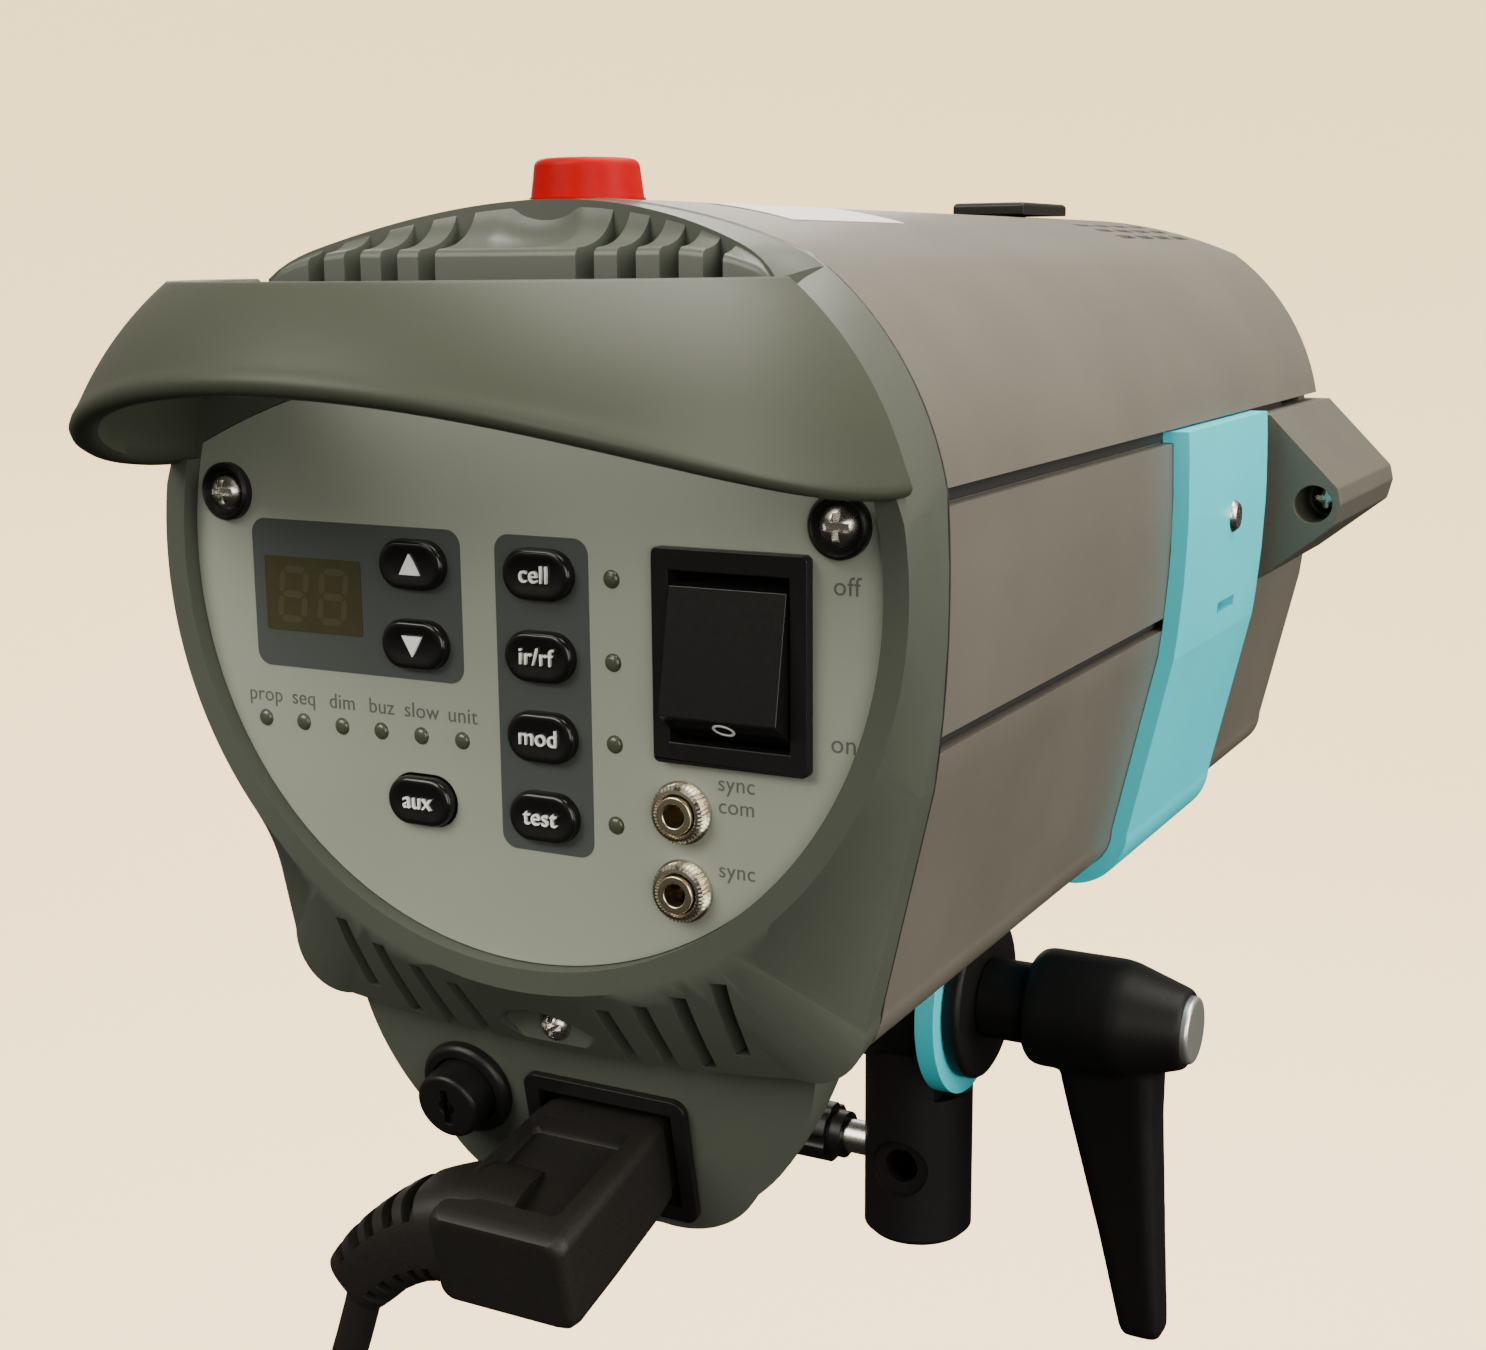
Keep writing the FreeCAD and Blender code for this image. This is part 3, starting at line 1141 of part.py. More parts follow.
def lamp_holder():
    holder = rod(13, (0, PLATE_Y - 36, LAMP_Z), Y_AXIS, 28)
    holder = holder.fuse(rod(18, (0, PLATE_Y - 16, LAMP_Z), Y_AXIS, 2)).removeSplitter()
    return holder.cut(rod(6.2, (0, PLATE_Y - 22, LAMP_Z), Y_AXIS, 20))


def modelling_lamp():
    base = rod(6.0, (0, PLATE_Y - 21, LAMP_Z), Y_AXIS, 16)
    bulb = rod(6.6, (0, PLATE_Y - 5, LAMP_Z), Y_AXIS, 22)
    tip = Part.makeSphere(6.6, V(0, PLATE_Y + 17, LAMP_Z))
    return fuse([base, bulb, tip])


def flash_tube():
    ring = Part.makeTorus(27, 3.0, V(0, PLATE_Y + 6, LAMP_Z), Y_AXIS)
    gap = box(-4, 4, PLATE_Y, PLATE_Y + 12, LAMP_Z - 36, LAMP_Z - 20)
    legs = [rod(2.4, (x, PLATE_Y - 20, LAMP_Z), Y_AXIS, 26) for x in (-27, 27)]
    return fuse([ring.cut(gap)] + legs)


def glass_dome():
    """Frosted safety glass: a short tube closed by half a sphere, turned about the lamp axis."""
    foot = PLATE_Y - 12
    spring = PLATE_Y + 12.2
    outer = GLASS_R
    inner = GLASS_R - GLASS_T
    half = math.sqrt(0.5)

    def at(radius, y):
        return V(radius, y, LAMP_Z)

    edges = [
        Part.LineSegment(at(outer, foot), at(outer, spring)).toShape(),
        Part.Arc(at(outer, spring), at(outer * half, spring + outer * half), at(0, spring + outer)).toShape(),
        Part.LineSegment(at(0, spring + outer), at(0, spring + inner)).toShape(),
        Part.Arc(at(0, spring + inner), at(inner * half, spring + inner * half), at(inner, spring)).toShape(),
        Part.LineSegment(at(inner, spring), at(inner, foot)).toShape(),
        Part.LineSegment(at(inner, foot), at(outer, foot)).toShape(),
    ]
    return Part.Face(Part.Wire(edges)).revolve(at(0, 0), Y_AXIS, 360)


# ---------------------------------------------------------------- inside the body
FAN_Y = 0.0


def fan_frame():
    z0 = DECK_Z + 2
    frame = box(-30, 30, FAN_Y, FAN_Y + 25, z0, z0 + 60)
    frame = frame.cut(rod(28, (0, FAN_Y - 1, z0 + 30), Y_AXIS, 27))
    hub = rod(9, (0, FAN_Y + 21, z0 + 30), Y_AXIS, 4)
    arms = [box(-28.5, 28.5, FAN_Y + 21, FAN_Y + 24, z0 + 29, z0 + 31)]
    arms.append(box(-1, 1, FAN_Y + 21, FAN_Y + 24, z0 + 1.5, z0 + 58.5))
    pin = rod(1.5, (0, FAN_Y + 4, z0 + 30), Y_AXIS, 18)
    return fuse([frame, hub, pin] + arms)


def fan_rotor():
    zc = DECK_Z + 32
    hub = rod(11, (0, FAN_Y + 3, zc), Y_AXIS, 16)
    blades = []
    for i in range(7):
        blade = box(-1.0, 1.0, FAN_Y + 4, FAN_Y + 18, zc + 8, zc + 26.5)
        blade.rotate(V(0, FAN_Y + 11, zc), Z_AXIS, 32)
        blade.rotate(V(0, 0, zc), Y_AXIS, 360 / 7 * i)
        blades.append(blade)
    rotor = fuse([hub] + blades)
    return rotor.cut(rod(1.5 + RUN, (0, FAN_Y, zc), Y_AXIS, 22))


def power_supply():
    """Two storage capacitors under the deck, and the charging board on top of it."""
    z = BODY_BOTTOM_Z + WALL + 17.5
    cans = []
    for x in (-23, 23):
        can = rod(17.5, (x, -110, z), Y_AXIS, 84)
        rims = [e for e in can.Edges if e.BoundBox.YLength < 1e-6]
        cans.append(can.makeFillet(2, rims))
    z0 = DECK_Z + 4
    board = box(-45, 45, -130, -20, z0, z0 + 1.6)
    coil = tube(14, 6, (-20, -60, z0 + 1.6), Z_AXIS, 16)
    block = box(12, 34, -100, -60, z0 + 1.6, z0 + 22)
    stack = box(-36, -16, -118, -90, z0 + 1.6, z0 + 26)
    feet = [rod(3, (x, y, DECK_Z + 2), Z_AXIS, 2) for x in (-40, 40) for y in (-125, -25)]
    return Part.makeCompound(cans + [fuse([board, coil, block, stack] + feet)])


# ---------------------------------------------------------------- the parts list
PARTS = {
    "stand_socket": stand_socket, "pressure_disc": pressure_disc, "clamp_bolt": clamp_bolt,
    "clamp_lever": clamp_lever, "lever_cap": lever_cap, "lock_screw": lock_screw, "lock_knob": lock_knob,
    "cradle_strap": cradle_strap, "tilt_lug": tilt_lug,
    "cradle_screws": cradle_screws, "top_cover": top_cover,
    "side_panel_left": lambda: side_panel(-1), "side_panel_right": lambda: side_panel(1),
    "bottom_tray": bottom_tray, "chassis_frame": chassis_frame, "rear_housing": rear_housing,
    "hood_handle": hood_handle, "rear_vent_grille": rear_vent_grille, "photocell_dome": photocell_dome,
    "control_panel": control_panel, "button_board": button_board, "indicator_leds": indicator_leds,
    "display_window": display_window, "display_module": display_module, "switch_frame": switch_frame,
    "rocker": rocker, "jack_sockets": jack_sockets, "jack_nuts": jack_nuts, "cup_washers": cup_washers,
    "panel_screws": panel_screws, "chin_housing": chin_housing, "mains_inlet": mains_inlet,
    "fuse_holder": fuse_holder, "fuse_cap": fuse_cap, "glass_fuse": glass_fuse,
    "mains_connector": mains_connector, "cord_strain_relief": cord_strain_relief,
    "mains_cord": mains_cord, "cord_coil": cord_coil, "mains_plug": mains_plug, "plug_pins": plug_pins,
    "front_frame": front_frame, "ear_screws": ear_screws, "bayonet_ring": bayonet_ring,
    "reflector_release": reflector_release, "lamp_base_plate": lamp_base_plate,
    "lamp_holder": lamp_holder, "modelling_lamp": modelling_lamp, "flash_tube": flash_tube,
    "glass_dome": glass_dome, "fan_frame": fan_frame, "fan_rotor": fan_rotor,
    "power_supply": power_supply,
}


def main():
    os.makedirs("parts", exist_ok=True)
    for name, build in PARTS.items():
        shape = build()
        shape.exportStep("parts/" + name + ".step")
        print(name, len(shape.Solids), "solid", round(shape.Volume), "mm3", "valid", shape.isValid())
    for name, (x, z) in BUTTONS.items():
        shape = push_button(x, z)
        shape.exportStep("parts/" + name + ".step")
        print(name, len(shape.Solids), "solid", round(shape.Volume), "mm3", "valid", shape.isValid())


main()
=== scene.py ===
# %% [markdown]
# Monolight strobe
# A studio flash head that sits on a light stand. The panel faces -Y and the light leaves along +Y.
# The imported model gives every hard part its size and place. This lesson gives them their finishes,
# and rebuilds the moulded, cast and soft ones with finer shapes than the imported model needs.

# %% Load the frame and keep its size
import bpy
import bmesh
import math
from mathutils import Matrix, Vector


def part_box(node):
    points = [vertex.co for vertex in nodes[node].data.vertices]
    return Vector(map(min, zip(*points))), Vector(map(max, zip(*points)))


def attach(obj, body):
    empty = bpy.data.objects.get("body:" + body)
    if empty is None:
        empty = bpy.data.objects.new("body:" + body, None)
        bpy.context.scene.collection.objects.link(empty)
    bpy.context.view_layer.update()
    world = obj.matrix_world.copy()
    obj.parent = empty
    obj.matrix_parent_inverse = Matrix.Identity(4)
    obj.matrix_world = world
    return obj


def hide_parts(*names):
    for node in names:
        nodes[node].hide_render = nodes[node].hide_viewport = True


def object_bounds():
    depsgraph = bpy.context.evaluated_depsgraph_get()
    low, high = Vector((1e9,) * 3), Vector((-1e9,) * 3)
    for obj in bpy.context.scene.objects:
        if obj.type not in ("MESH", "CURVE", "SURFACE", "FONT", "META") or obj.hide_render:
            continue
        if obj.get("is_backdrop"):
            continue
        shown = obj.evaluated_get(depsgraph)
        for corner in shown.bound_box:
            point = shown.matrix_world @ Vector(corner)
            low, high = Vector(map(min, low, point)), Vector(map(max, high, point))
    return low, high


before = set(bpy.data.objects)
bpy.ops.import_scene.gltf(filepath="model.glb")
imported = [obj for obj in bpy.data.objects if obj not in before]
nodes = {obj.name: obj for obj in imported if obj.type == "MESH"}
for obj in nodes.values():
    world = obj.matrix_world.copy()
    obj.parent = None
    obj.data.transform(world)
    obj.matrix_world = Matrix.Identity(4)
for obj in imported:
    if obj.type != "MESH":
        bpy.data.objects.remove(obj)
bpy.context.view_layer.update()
MM = 0.001

# %% [markdown]
# The camera stands behind the head, to the right of it and a little above, as a photographer would
# who is about to change a setting. It is placed by its own position, heading and a slight roll.

# %% Camera
CAMERA_AT = (175.387 * MM, -421.034 * MM, 225.475 * MM)
HEADING, DIP, ROLL = (math.radians(a) for a in (27.748, 11.366, -0.438))
forward = Vector((-math.sin(HEADING) * math.cos(DIP), math.cos(HEADING) * math.cos(DIP), -math.sin(DIP)))
level = Vector((math.cos(HEADING), math.sin(HEADING), 0))
upward = level.cross(forward)
right = level * math.cos(ROLL) + upward * math.sin(ROLL)
up = upward * math.cos(ROLL) - level * math.sin(ROLL)
camera = bpy.data.objects.new("camera", bpy.data.cameras.new("camera"))
bpy.context.scene.collection.objects.link(camera)
camera.data.lens = 49.58
camera.data.sensor_width = 36
camera.data.clip_start = 0.01
camera.matrix_world = Matrix.Translation(CAMERA_AT) @ Matrix((right, up, -forward)).transposed().to_4x4()
bpy.context.scene.camera = camera
print("camera", [round(v, 3) for v in camera.location])

# %% [markdown]
# The room: one seamless cream bowl, so that no horizon shows from any side. The bowl glows by itself and
# throws no light on the head, so its colour can be set without tinting the blacks. Five soft lights do
# the rest: a key from above and behind the camera, a roof light for the top, a large one on the right
# for the side, a fill for the panel, and a weak one for the lamp end.

# %% Floor and lights
FLOOR_Z = -0.32
FLOOR_R, WALL_R, WALL_TOP = 1.4, 3.4, 5.0
bowl_line = [(0.0, FLOOR_Z), (FLOOR_R, FLOOR_Z)]
bowl_line += [(FLOOR_R + (WALL_R - FLOOR_R) * math.sin(a), FLOOR_Z + 2.0 * (1 - math.cos(a)))
              for a in (math.pi / 2 * k / 12 for k in range(1, 13))]
bowl_line.append((WALL_R, WALL_TOP))
bowl_builder = bmesh.new()
rings = []
for reach, height in bowl_line[1:]:
    rings.append([bowl_builder.verts.new((reach * math.cos(a), reach * math.sin(a), height))
                  for a in (2 * math.pi * k / 96 for k in range(96))])
for inner, outer in zip(rings, rings[1:]):
    for k in range(96):
        bowl_builder.faces.new((inner[k], outer[k], outer[(k + 1) % 96], inner[(k + 1) % 96]))
bowl_builder.faces.new(rings[0])
floor_mesh = bpy.data.meshes.new("floor")
bowl_builder.to_mesh(floor_mesh)
floor_mesh.shade_smooth()
floor = bpy.data.objects.new("floor", floor_mesh)
bpy.context.scene.collection.objects.link(floor)
floor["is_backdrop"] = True
wall_paint = bpy.data.materials.new("wall_paint")
wall_paint.use_nodes = True
wall_shader = wall_paint.node_tree.nodes["Principled BSDF"]
wall_shader.inputs["Base Color"].default_value = (0.60, 0.50, 0.34, 1)
wall_shader.inputs["Roughness"].default_value = 0.9
wall_shader.inputs["Emission Color"].default_value = (1.0, 0.72, 0.33, 1)
wall_shader.inputs["Emission Strength"].default_value = 2.1
floor_mesh.materials.append(wall_paint)
floor.visible_diffuse = False
floor.visible_glossy = False
floor.visible_shadow = False


def area_light(name, place, target, width, height, watts, colour):
    data = bpy.data.lights.new(name, "AREA")
    data.shape = "RECTANGLE"
    data.size, data.size_y = width, height
    data.energy = watts
    data.color = colour
    lamp = bpy.data.objects.new(name, data)
    bpy.context.scene.collection.objects.link(lamp)
    lamp.location = place
    lamp.rotation_euler = (Vector(target) - Vector(place)).to_track_quat("-Z", "Y").to_euler()
    return lamp


WARM = (1.0, 0.955, 0.86)
MIDDLE = (0, -0.03, 0.15)
area_light("key", (-0.75, -1.5, 1.35), MIDDLE, 1.3, 1.3, 48, WARM)
area_light("roof", (0.25, 0.35, 1.5), MIDDLE, 1.6, 1.2, 52, WARM)
area_light("side_strip", (1.9, -0.1, 0.75), MIDDLE, 1.0, 1.8, 52, WARM)
area_light("front_fill", (1.3, -1.7, 0.55), MIDDLE, 1.2, 1.2, 26, WARM)
area_light("lamp_side_fill", (-1.3, 1.7, 0.9), MIDDLE, 1.2, 1.2, 16, WARM)
world = bpy.data.worlds.new("studio")
bpy.context.scene.world = world
world.use_nodes = True
sky = world.node_tree
sky.nodes["Background"].inputs["Color"].default_value = (1.0, 0.93, 0.80, 1)

# %% [markdown]
# Finishes. Almost every surface here is a base colour with three small disturbances: a slow change of
# tone, a fine grain in the gloss, and a grain in the height. One builder makes them all, so that the
# textured paint, the spark-eroded plastic and the rubber differ only in the numbers they are given.

# %% Finish builder
def add(tree, kind, **values):
    node = tree.nodes.new(kind)
    for key, value in values.items():
        if key in node.inputs:
            node.inputs[key].default_value = value
        else:
            setattr(node, key, value)
    return node


def grain(tree, scale, detail=4.0, stretch=None):
    """Noise in the object's own metres; stretch squeezes it along one axis, as brushing does."""
    place = add(tree, "ShaderNodeTexCoord").outputs["Object"]
    if stretch:
        mapping = add(tree, "ShaderNodeMapping")
        mapping.inputs["Scale"].default_value = stretch
        tree.links.new(place, mapping.inputs["Vector"])
        place = mapping.outputs["Vector"]
    noise = add(tree, "ShaderNodeTexNoise", Scale=scale, Detail=detail)
    tree.links.new(place, noise.inputs["Vector"])
    return noise.outputs["Fac"]


def spread(tree, source, low, high, start=0.35, stop=0.65):
    """Maps a noise to a range of values."""
    span = add(tree, "ShaderNodeMapRange")
    span.inputs["From Min"].default_value = start
    span.inputs["From Max"].default_value = stop
    span.inputs["To Min"].default_value = low
    span.inputs["To Max"].default_value = high
    tree.links.new(source, span.inputs["Value"])
    return span.outputs["Result"]


def finish(name, colour, rough, metal=0.0, tone=0.12, grain_mm=0.5, depth=0.02, shine=0.5,
           stretch=None, tone_mm=30.0):
    """A surface finish: tone is the change of brightness, grain_mm and depth are the height grain."""
    made = bpy.data.materials.new(name)
    made.use_nodes = True
    tree = made.node_tree
    shader = tree.nodes["Principled BSDF"]
    shader.inputs["Metallic"].default_value = metal
    shader.inputs["Specular IOR Level"].default_value = shine
    mottle = grain(tree, 1 / (tone_mm * MM), 3.0)
    fine = grain(tree, 1 / (grain_mm * MM), 2.0, stretch)
    ramp = add(tree, "ShaderNodeValToRGB")
    ramp.color_ramp.elements[0].position = 0.3
    ramp.color_ramp.elements[1].position = 0.7
    ramp.color_ramp.elements[0].color = (*[c * (1 - tone) for c in colour], 1)
    ramp.color_ramp.elements[1].color = (*[min(1, c * (1 + tone)) for c in colour], 1)
    both = add(tree, "ShaderNodeMath", operation="MULTIPLY_ADD")
    both.inputs[1].default_value = 0.35
    tree.links.new(fine, both.inputs[0])
    scaled = add(tree, "ShaderNodeMath", operation="MULTIPLY")
    scaled.inputs[1].default_value = 0.65
    tree.links.new(mottle, scaled.inputs[0])
    tree.links.new(scaled.outputs[0], both.inputs[2])
    tree.links.new(both.outputs[0], ramp.inputs["Fac"])
    tree.links.new(ramp.outputs["Color"], shader.inputs["Base Color"])
    tree.links.new(spread(tree, fine, rough * 0.9, min(1, rough * 1.12)), shader.inputs["Roughness"])
    bump = add(tree, "ShaderNodeBump", Strength=0.5, Distance=depth * MM)
    tree.links.new(fine, bump.inputs["Height"])
    tree.links.new(bump.outputs["Normal"], shader.inputs["Normal"])
    return made


# %% [markdown]
# The sky is a plain warm white, bright overhead and nearly dark below. Shiny blacks and undersides then
# fall off in tone, as they do in a room, instead of glowing evenly all round.

# %% Daylight that fades towards the floor
sky_place = add(sky, "ShaderNodeTexCoord")
sky_split = add(sky, "ShaderNodeSeparateXYZ")
sky.links.new(sky_place.outputs["Generated"], sky_split.inputs["Vector"])
fade = spread(sky, sky_split.outputs["Z"], 0.03, 0.62, -0.35, 0.7)
sky.links.new(fade, sky.nodes["Background"].inputs["Strength"])
print("sky fades from 0.62 overhead to 0.03 below")

# %% [markdown]
# The housings: a warm dark grey paint with a fine sand texture on the metal shells, a greener grey
# moulded plastic on the rear cap and hood, and a lighter silk-screened film on the control panel.

# %% Housing finishes
shell_paint = finish("shell_paint", (0.105, 0.096, 0.080), 0.4, tone=0.10, grain_mm=0.35, depth=0.035,
                     shine=0.4)
cap_plastic = finish("cap_plastic", (0.058, 0.066, 0.053), 0.36, tone=0.08, grain_mm=0.3, depth=0.015,
                     shine=0.35)
hood_plastic = finish("hood_plastic", (0.036, 0.041, 0.029), 0.42, tone=0.06, grain_mm=0.3, depth=0.006,
                      shine=0.20)
shadow_plastic = finish("shadow_plastic", (0.010, 0.011, 0.010), 0.6, tone=0.08, grain_mm=0.4, depth=0.01,
                        shine=0.1)
panel_film = finish("panel_film", (0.225, 0.250, 0.205), 0.45, tone=0.04, grain_mm=0.25, depth=0.008)
print_grey = finish("print_grey", (0.048, 0.055, 0.053), 0.48, tone=0.05, grain_mm=0.25, depth=0.005,
                    shine=0.3)
strap_enamel = finish("strap_enamel", (0.045, 0.60, 0.72), 0.34, tone=0.05, grain_mm=0.4, depth=0.015)
cast_paint = finish("cast_paint", (0.075, 0.072, 0.058), 0.45, tone=0.12, grain_mm=0.6, depth=0.05, shine=0.3)

# %% [markdown]
# The fittings: plastics, rubber, plated and turned metals. Brushed and turned pieces get their grain
# squeezed along one axis, so that the highlight draws out into a line.

# %% Fitting finishes
black_moulding = finish("black_moulding", (0.007, 0.007, 0.007), 0.36, tone=0.15, grain_mm=0.35,
                        depth=0.012, shine=0.22)
polished_black = finish("polished_black", (0.006, 0.006, 0.006), 0.16, tone=0.15, grain_mm=0.6, depth=0.004,
                        shine=0.35)
lever_nylon = finish("lever_nylon", (0.005, 0.005, 0.005), 0.48, tone=0.15, grain_mm=0.5, depth=0.03,
                     shine=0.16)
black_casting = finish("black_casting", (0.006, 0.006, 0.006), 0.46, tone=0.15, grain_mm=0.7, depth=0.035,
                       shine=0.18)
cord_rubber = finish("cord_rubber", (0.009, 0.008, 0.007), 0.5, tone=0.12, grain_mm=0.4, depth=0.012,
                     shine=0.25)
zinc_plate = finish("zinc_plate", (0.52, 0.50, 0.46), 0.26, metal=1.0, tone=0.10, grain_mm=0.3, depth=0.008)
nickel_plate = finish("nickel_plate", (0.66, 0.62, 0.53), 0.20, metal=1.0, tone=0.10, grain_mm=0.25,
                      depth=0.008)
turned_brass = finish("turned_brass", (0.78, 0.68, 0.50), 0.24, metal=1.0, tone=0.08, grain_mm=0.3,
                      depth=0.005)
silver_cap = finish("silver_cap", (0.62, 0.62, 0.60), 0.34, metal=0.9, tone=0.06, grain_mm=0.25, depth=0.008)
sheet_steel = finish("sheet_steel", (0.46, 0.46, 0.45), 0.32, metal=1.0, tone=0.08, grain_mm=0.6, depth=0.008,
                     stretch=(1, 12, 1))
ceramic = finish("ceramic", (0.72, 0.70, 0.64), 0.30, tone=0.04, grain_mm=0.8, depth=0.01)
board_laminate = finish("board_laminate", (0.02, 0.14, 0.06), 0.35, tone=0.15, grain_mm=0.8, depth=0.01)
label_paper = finish("label_paper", (0.66, 0.64, 0.60), 0.55, tone=0.05, grain_mm=0.6, depth=0.01)
led_epoxy = finish("led_epoxy", (0.050, 0.056, 0.036), 0.22, tone=0.2, grain_mm=0.5, depth=0.004)
unlit_bar = finish("unlit_bar", (0.052, 0.050, 0.028), 0.2, tone=0.04, grain_mm=0.5, depth=0.002)
ink_grey = finish("ink_grey", (0.075, 0.080, 0.074), 0.5, tone=0.04, grain_mm=0.3, depth=0.004)
mark_white = finish("mark_white", (0.78, 0.78, 0.76), 0.45, tone=0.04, grain_mm=0.2, depth=0.004)
# Near-black painted shade: it stands for the shade inside the side grooves and in the gap at the cap joint.
painted_shade_black = finish("painted_shade_black", (0.008, 0.008, 0.008), 0.6, tone=0.1, grain_mm=0.5, depth=0.01)


def lens(name, colour, rough, through, ior=1.49, shine=0.5):
    """A see-through moulding: through is how much light passes."""
    made = finish(name, colour, rough, tone=0.06, grain_mm=1.5, depth=0.003, tone_mm=6)
    shader = made.node_tree.nodes["Principled BSDF"]
    shader.inputs["Transmission Weight"].default_value = through
    shader.inputs["IOR"].default_value = ior
    shader.inputs["Specular IOR Level"].default_value = shine
    return made


red_lens = lens("red_lens", (0.34, 0.0, 0.003), 0.34, 0.0, shine=0.05)
display_lens = lens("display_lens", (0.040, 0.038, 0.018), 0.14, 0.0)
frosted_glass = lens("frosted_glass", (0.92, 0.93, 0.92), 0.45, 0.75)
clear_glass = lens("clear_glass", (0.95, 0.97, 0.97), 0.05, 0.95)
print("finishes", len(bpy.data.materials))

# %% [markdown]
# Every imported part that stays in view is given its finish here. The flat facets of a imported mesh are
# shaded smooth, with real corners kept sharp.

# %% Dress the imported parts
DRESS = {
    shell_paint: ["top_cover", "side_panel_left", "side_panel_right", "bottom_tray"],
    cap_plastic: ["rear_housing", "hood_handle", "chin_housing"],
    panel_film: ["control_panel"],
    strap_enamel: ["cradle_strap", "tilt_lug"],
    cast_paint: ["front_frame"],
    black_moulding: ["rear_vent_grille", "switch_frame", "mains_inlet", "fuse_holder", "fuse_cap",
                     "cup_washers", "reflector_release", "fan_frame", "fan_rotor", "lock_knob"],
    polished_black: ["rocker", "display_module", "up_button", "down_button", "aux_button", "cell_button",
                     "remote_button", "model_button", "test_button"],
    lever_nylon: ["clamp_lever"],
    black_casting: ["stand_socket", "pressure_disc", "clamp_bolt"],
    cord_rubber: ["mains_connector", "cord_strain_relief", "mains_cord", "cord_coil", "mains_plug"],
    zinc_plate: ["panel_screws", "cradle_screws", "ear_screws", "lock_screw"],
    nickel_plate: ["jack_nuts", "plug_pins", "glass_fuse"],
    turned_brass: ["jack_sockets"],
    silver_cap: ["lever_cap"],
    sheet_steel: ["chassis_frame", "bayonet_ring", "lamp_base_plate"],
    ceramic: ["lamp_holder"],
    board_laminate: ["button_board", "power_supply"],
    led_epoxy: ["indicator_leds"],
    red_lens: ["photocell_dome"],
    display_lens: ["display_window"],
    frosted_glass: ["glass_dome"],
    clear_glass: ["modelling_lamp", "flash_tube"],
}
for material, names in DRESS.items():
    for name in names:
        mesh = nodes[name].data
        mesh.materials.clear()
        mesh.materials.append(material)
        for polygon in mesh.polygons:
            polygon.material_index = 0
print("undressed", sorted(set(nodes) - {n for names in DRESS.values() for n in names}))


def smooth_by_angle(piece, degrees=32):
    """Smooth shading with corners sharper than this kept crisp."""
    mesh = piece.data
    mesh.shade_smooth()
    mesh.set_sharp_from_angle(angle=math.radians(degrees))


for node in nodes.values():
    smooth_by_angle(node)

# %% [markdown]
# Pieces made here need three things done each time: put the mesh in the scene, give it a finish, and
# let it ride on a body of the frame. These helpers do that, and turn rows of points into skins.

# %% Mesh helpers
def piece(name, points, faces, material, body, sharp=32, stands_for=(), slot=None):
    """A mesh piece from points in millimetres and faces by index."""
    mesh = bpy.data.meshes.new(name)
    mesh.from_pydata([Vector(p) * MM for p in points], [], faces)
    builder = bmesh.new()
    builder.from_mesh(mesh)
    bmesh.ops.remove_doubles(builder, verts=builder.verts, dist=1e-6)
    bmesh.ops.recalc_face_normals(builder, faces=builder.faces)
    builder.to_mesh(mesh)
    builder.free()
    mesh.materials.append(material)
    made = bpy.data.objects.new(name, mesh)
    bpy.context.scene.collection.objects.link(made)
    smooth_by_angle(made, sharp)
    if stands_for:
        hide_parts(*stands_for)
    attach(made, body)
    return made


def skin(rows, ring=False, caps=False):
    """Points and faces that join rows of equal length; ring closes each row on itself."""
    count = len(rows[0])
    points = [p for row in rows for p in row]
    faces = []
    for i in range(len(rows) - 1):
        for j in range(count if ring else count - 1):
            k = (j + 1) % count
            faces.append((i * count + j, i * count + k, (i + 1) * count + k, (i + 1) * count + j))
    if caps:
        faces.append(tuple(range(count)))
        faces.append(tuple(range((len(rows) - 1) * count, len(rows) * count)))
    return points, faces


def add_skin(points, faces, more_points, more_faces):
    """Adds one skin to the lists that collect several for one piece."""
    faces += [tuple(i + len(points) for i in face) for face in more_faces]
    points += more_points


def turned(profile, centre, axis, steps=48):
    """Rows of a lathe-turned shape: profile is (distance along axis, radius) pairs."""
    axis = Vector(axis).normalized()
    side = axis.orthogonal().normalized()
    other = axis.cross(side)
    rows = []
    for along, radius in profile:
        rows.append([
            Vector(centre) + axis * along
            + (side * math.cos(a) + other * math.sin(a)) * max(radius, 0.001)
            for a in [2 * math.pi * k / steps for k in range(steps)]
        ])
    return rows


def soften(made, width_mm, segments=2, degrees=35):
    """A real bevel on every edge sharper than the given angle."""
    bevel = made.modifiers.new("bevel", "BEVEL")
    bevel.width = width_mm * MM
    bevel.segments = segments
    bevel.limit_method = "ANGLE"
    bevel.angle_limit = math.radians(degrees)
    bevel.harden_normals = False
    return bevel


# %% [markdown]
# The mains lead. It is one smooth line: out of the ribbed relief, down and a little to the left, then
# round and round into a coil of twenty turns, four layers of five, tied for storage. The line is a
# NURBS spline with a round section, so it bends like rubber and not like wire. About five metres is
# what such a flash head is sold with.

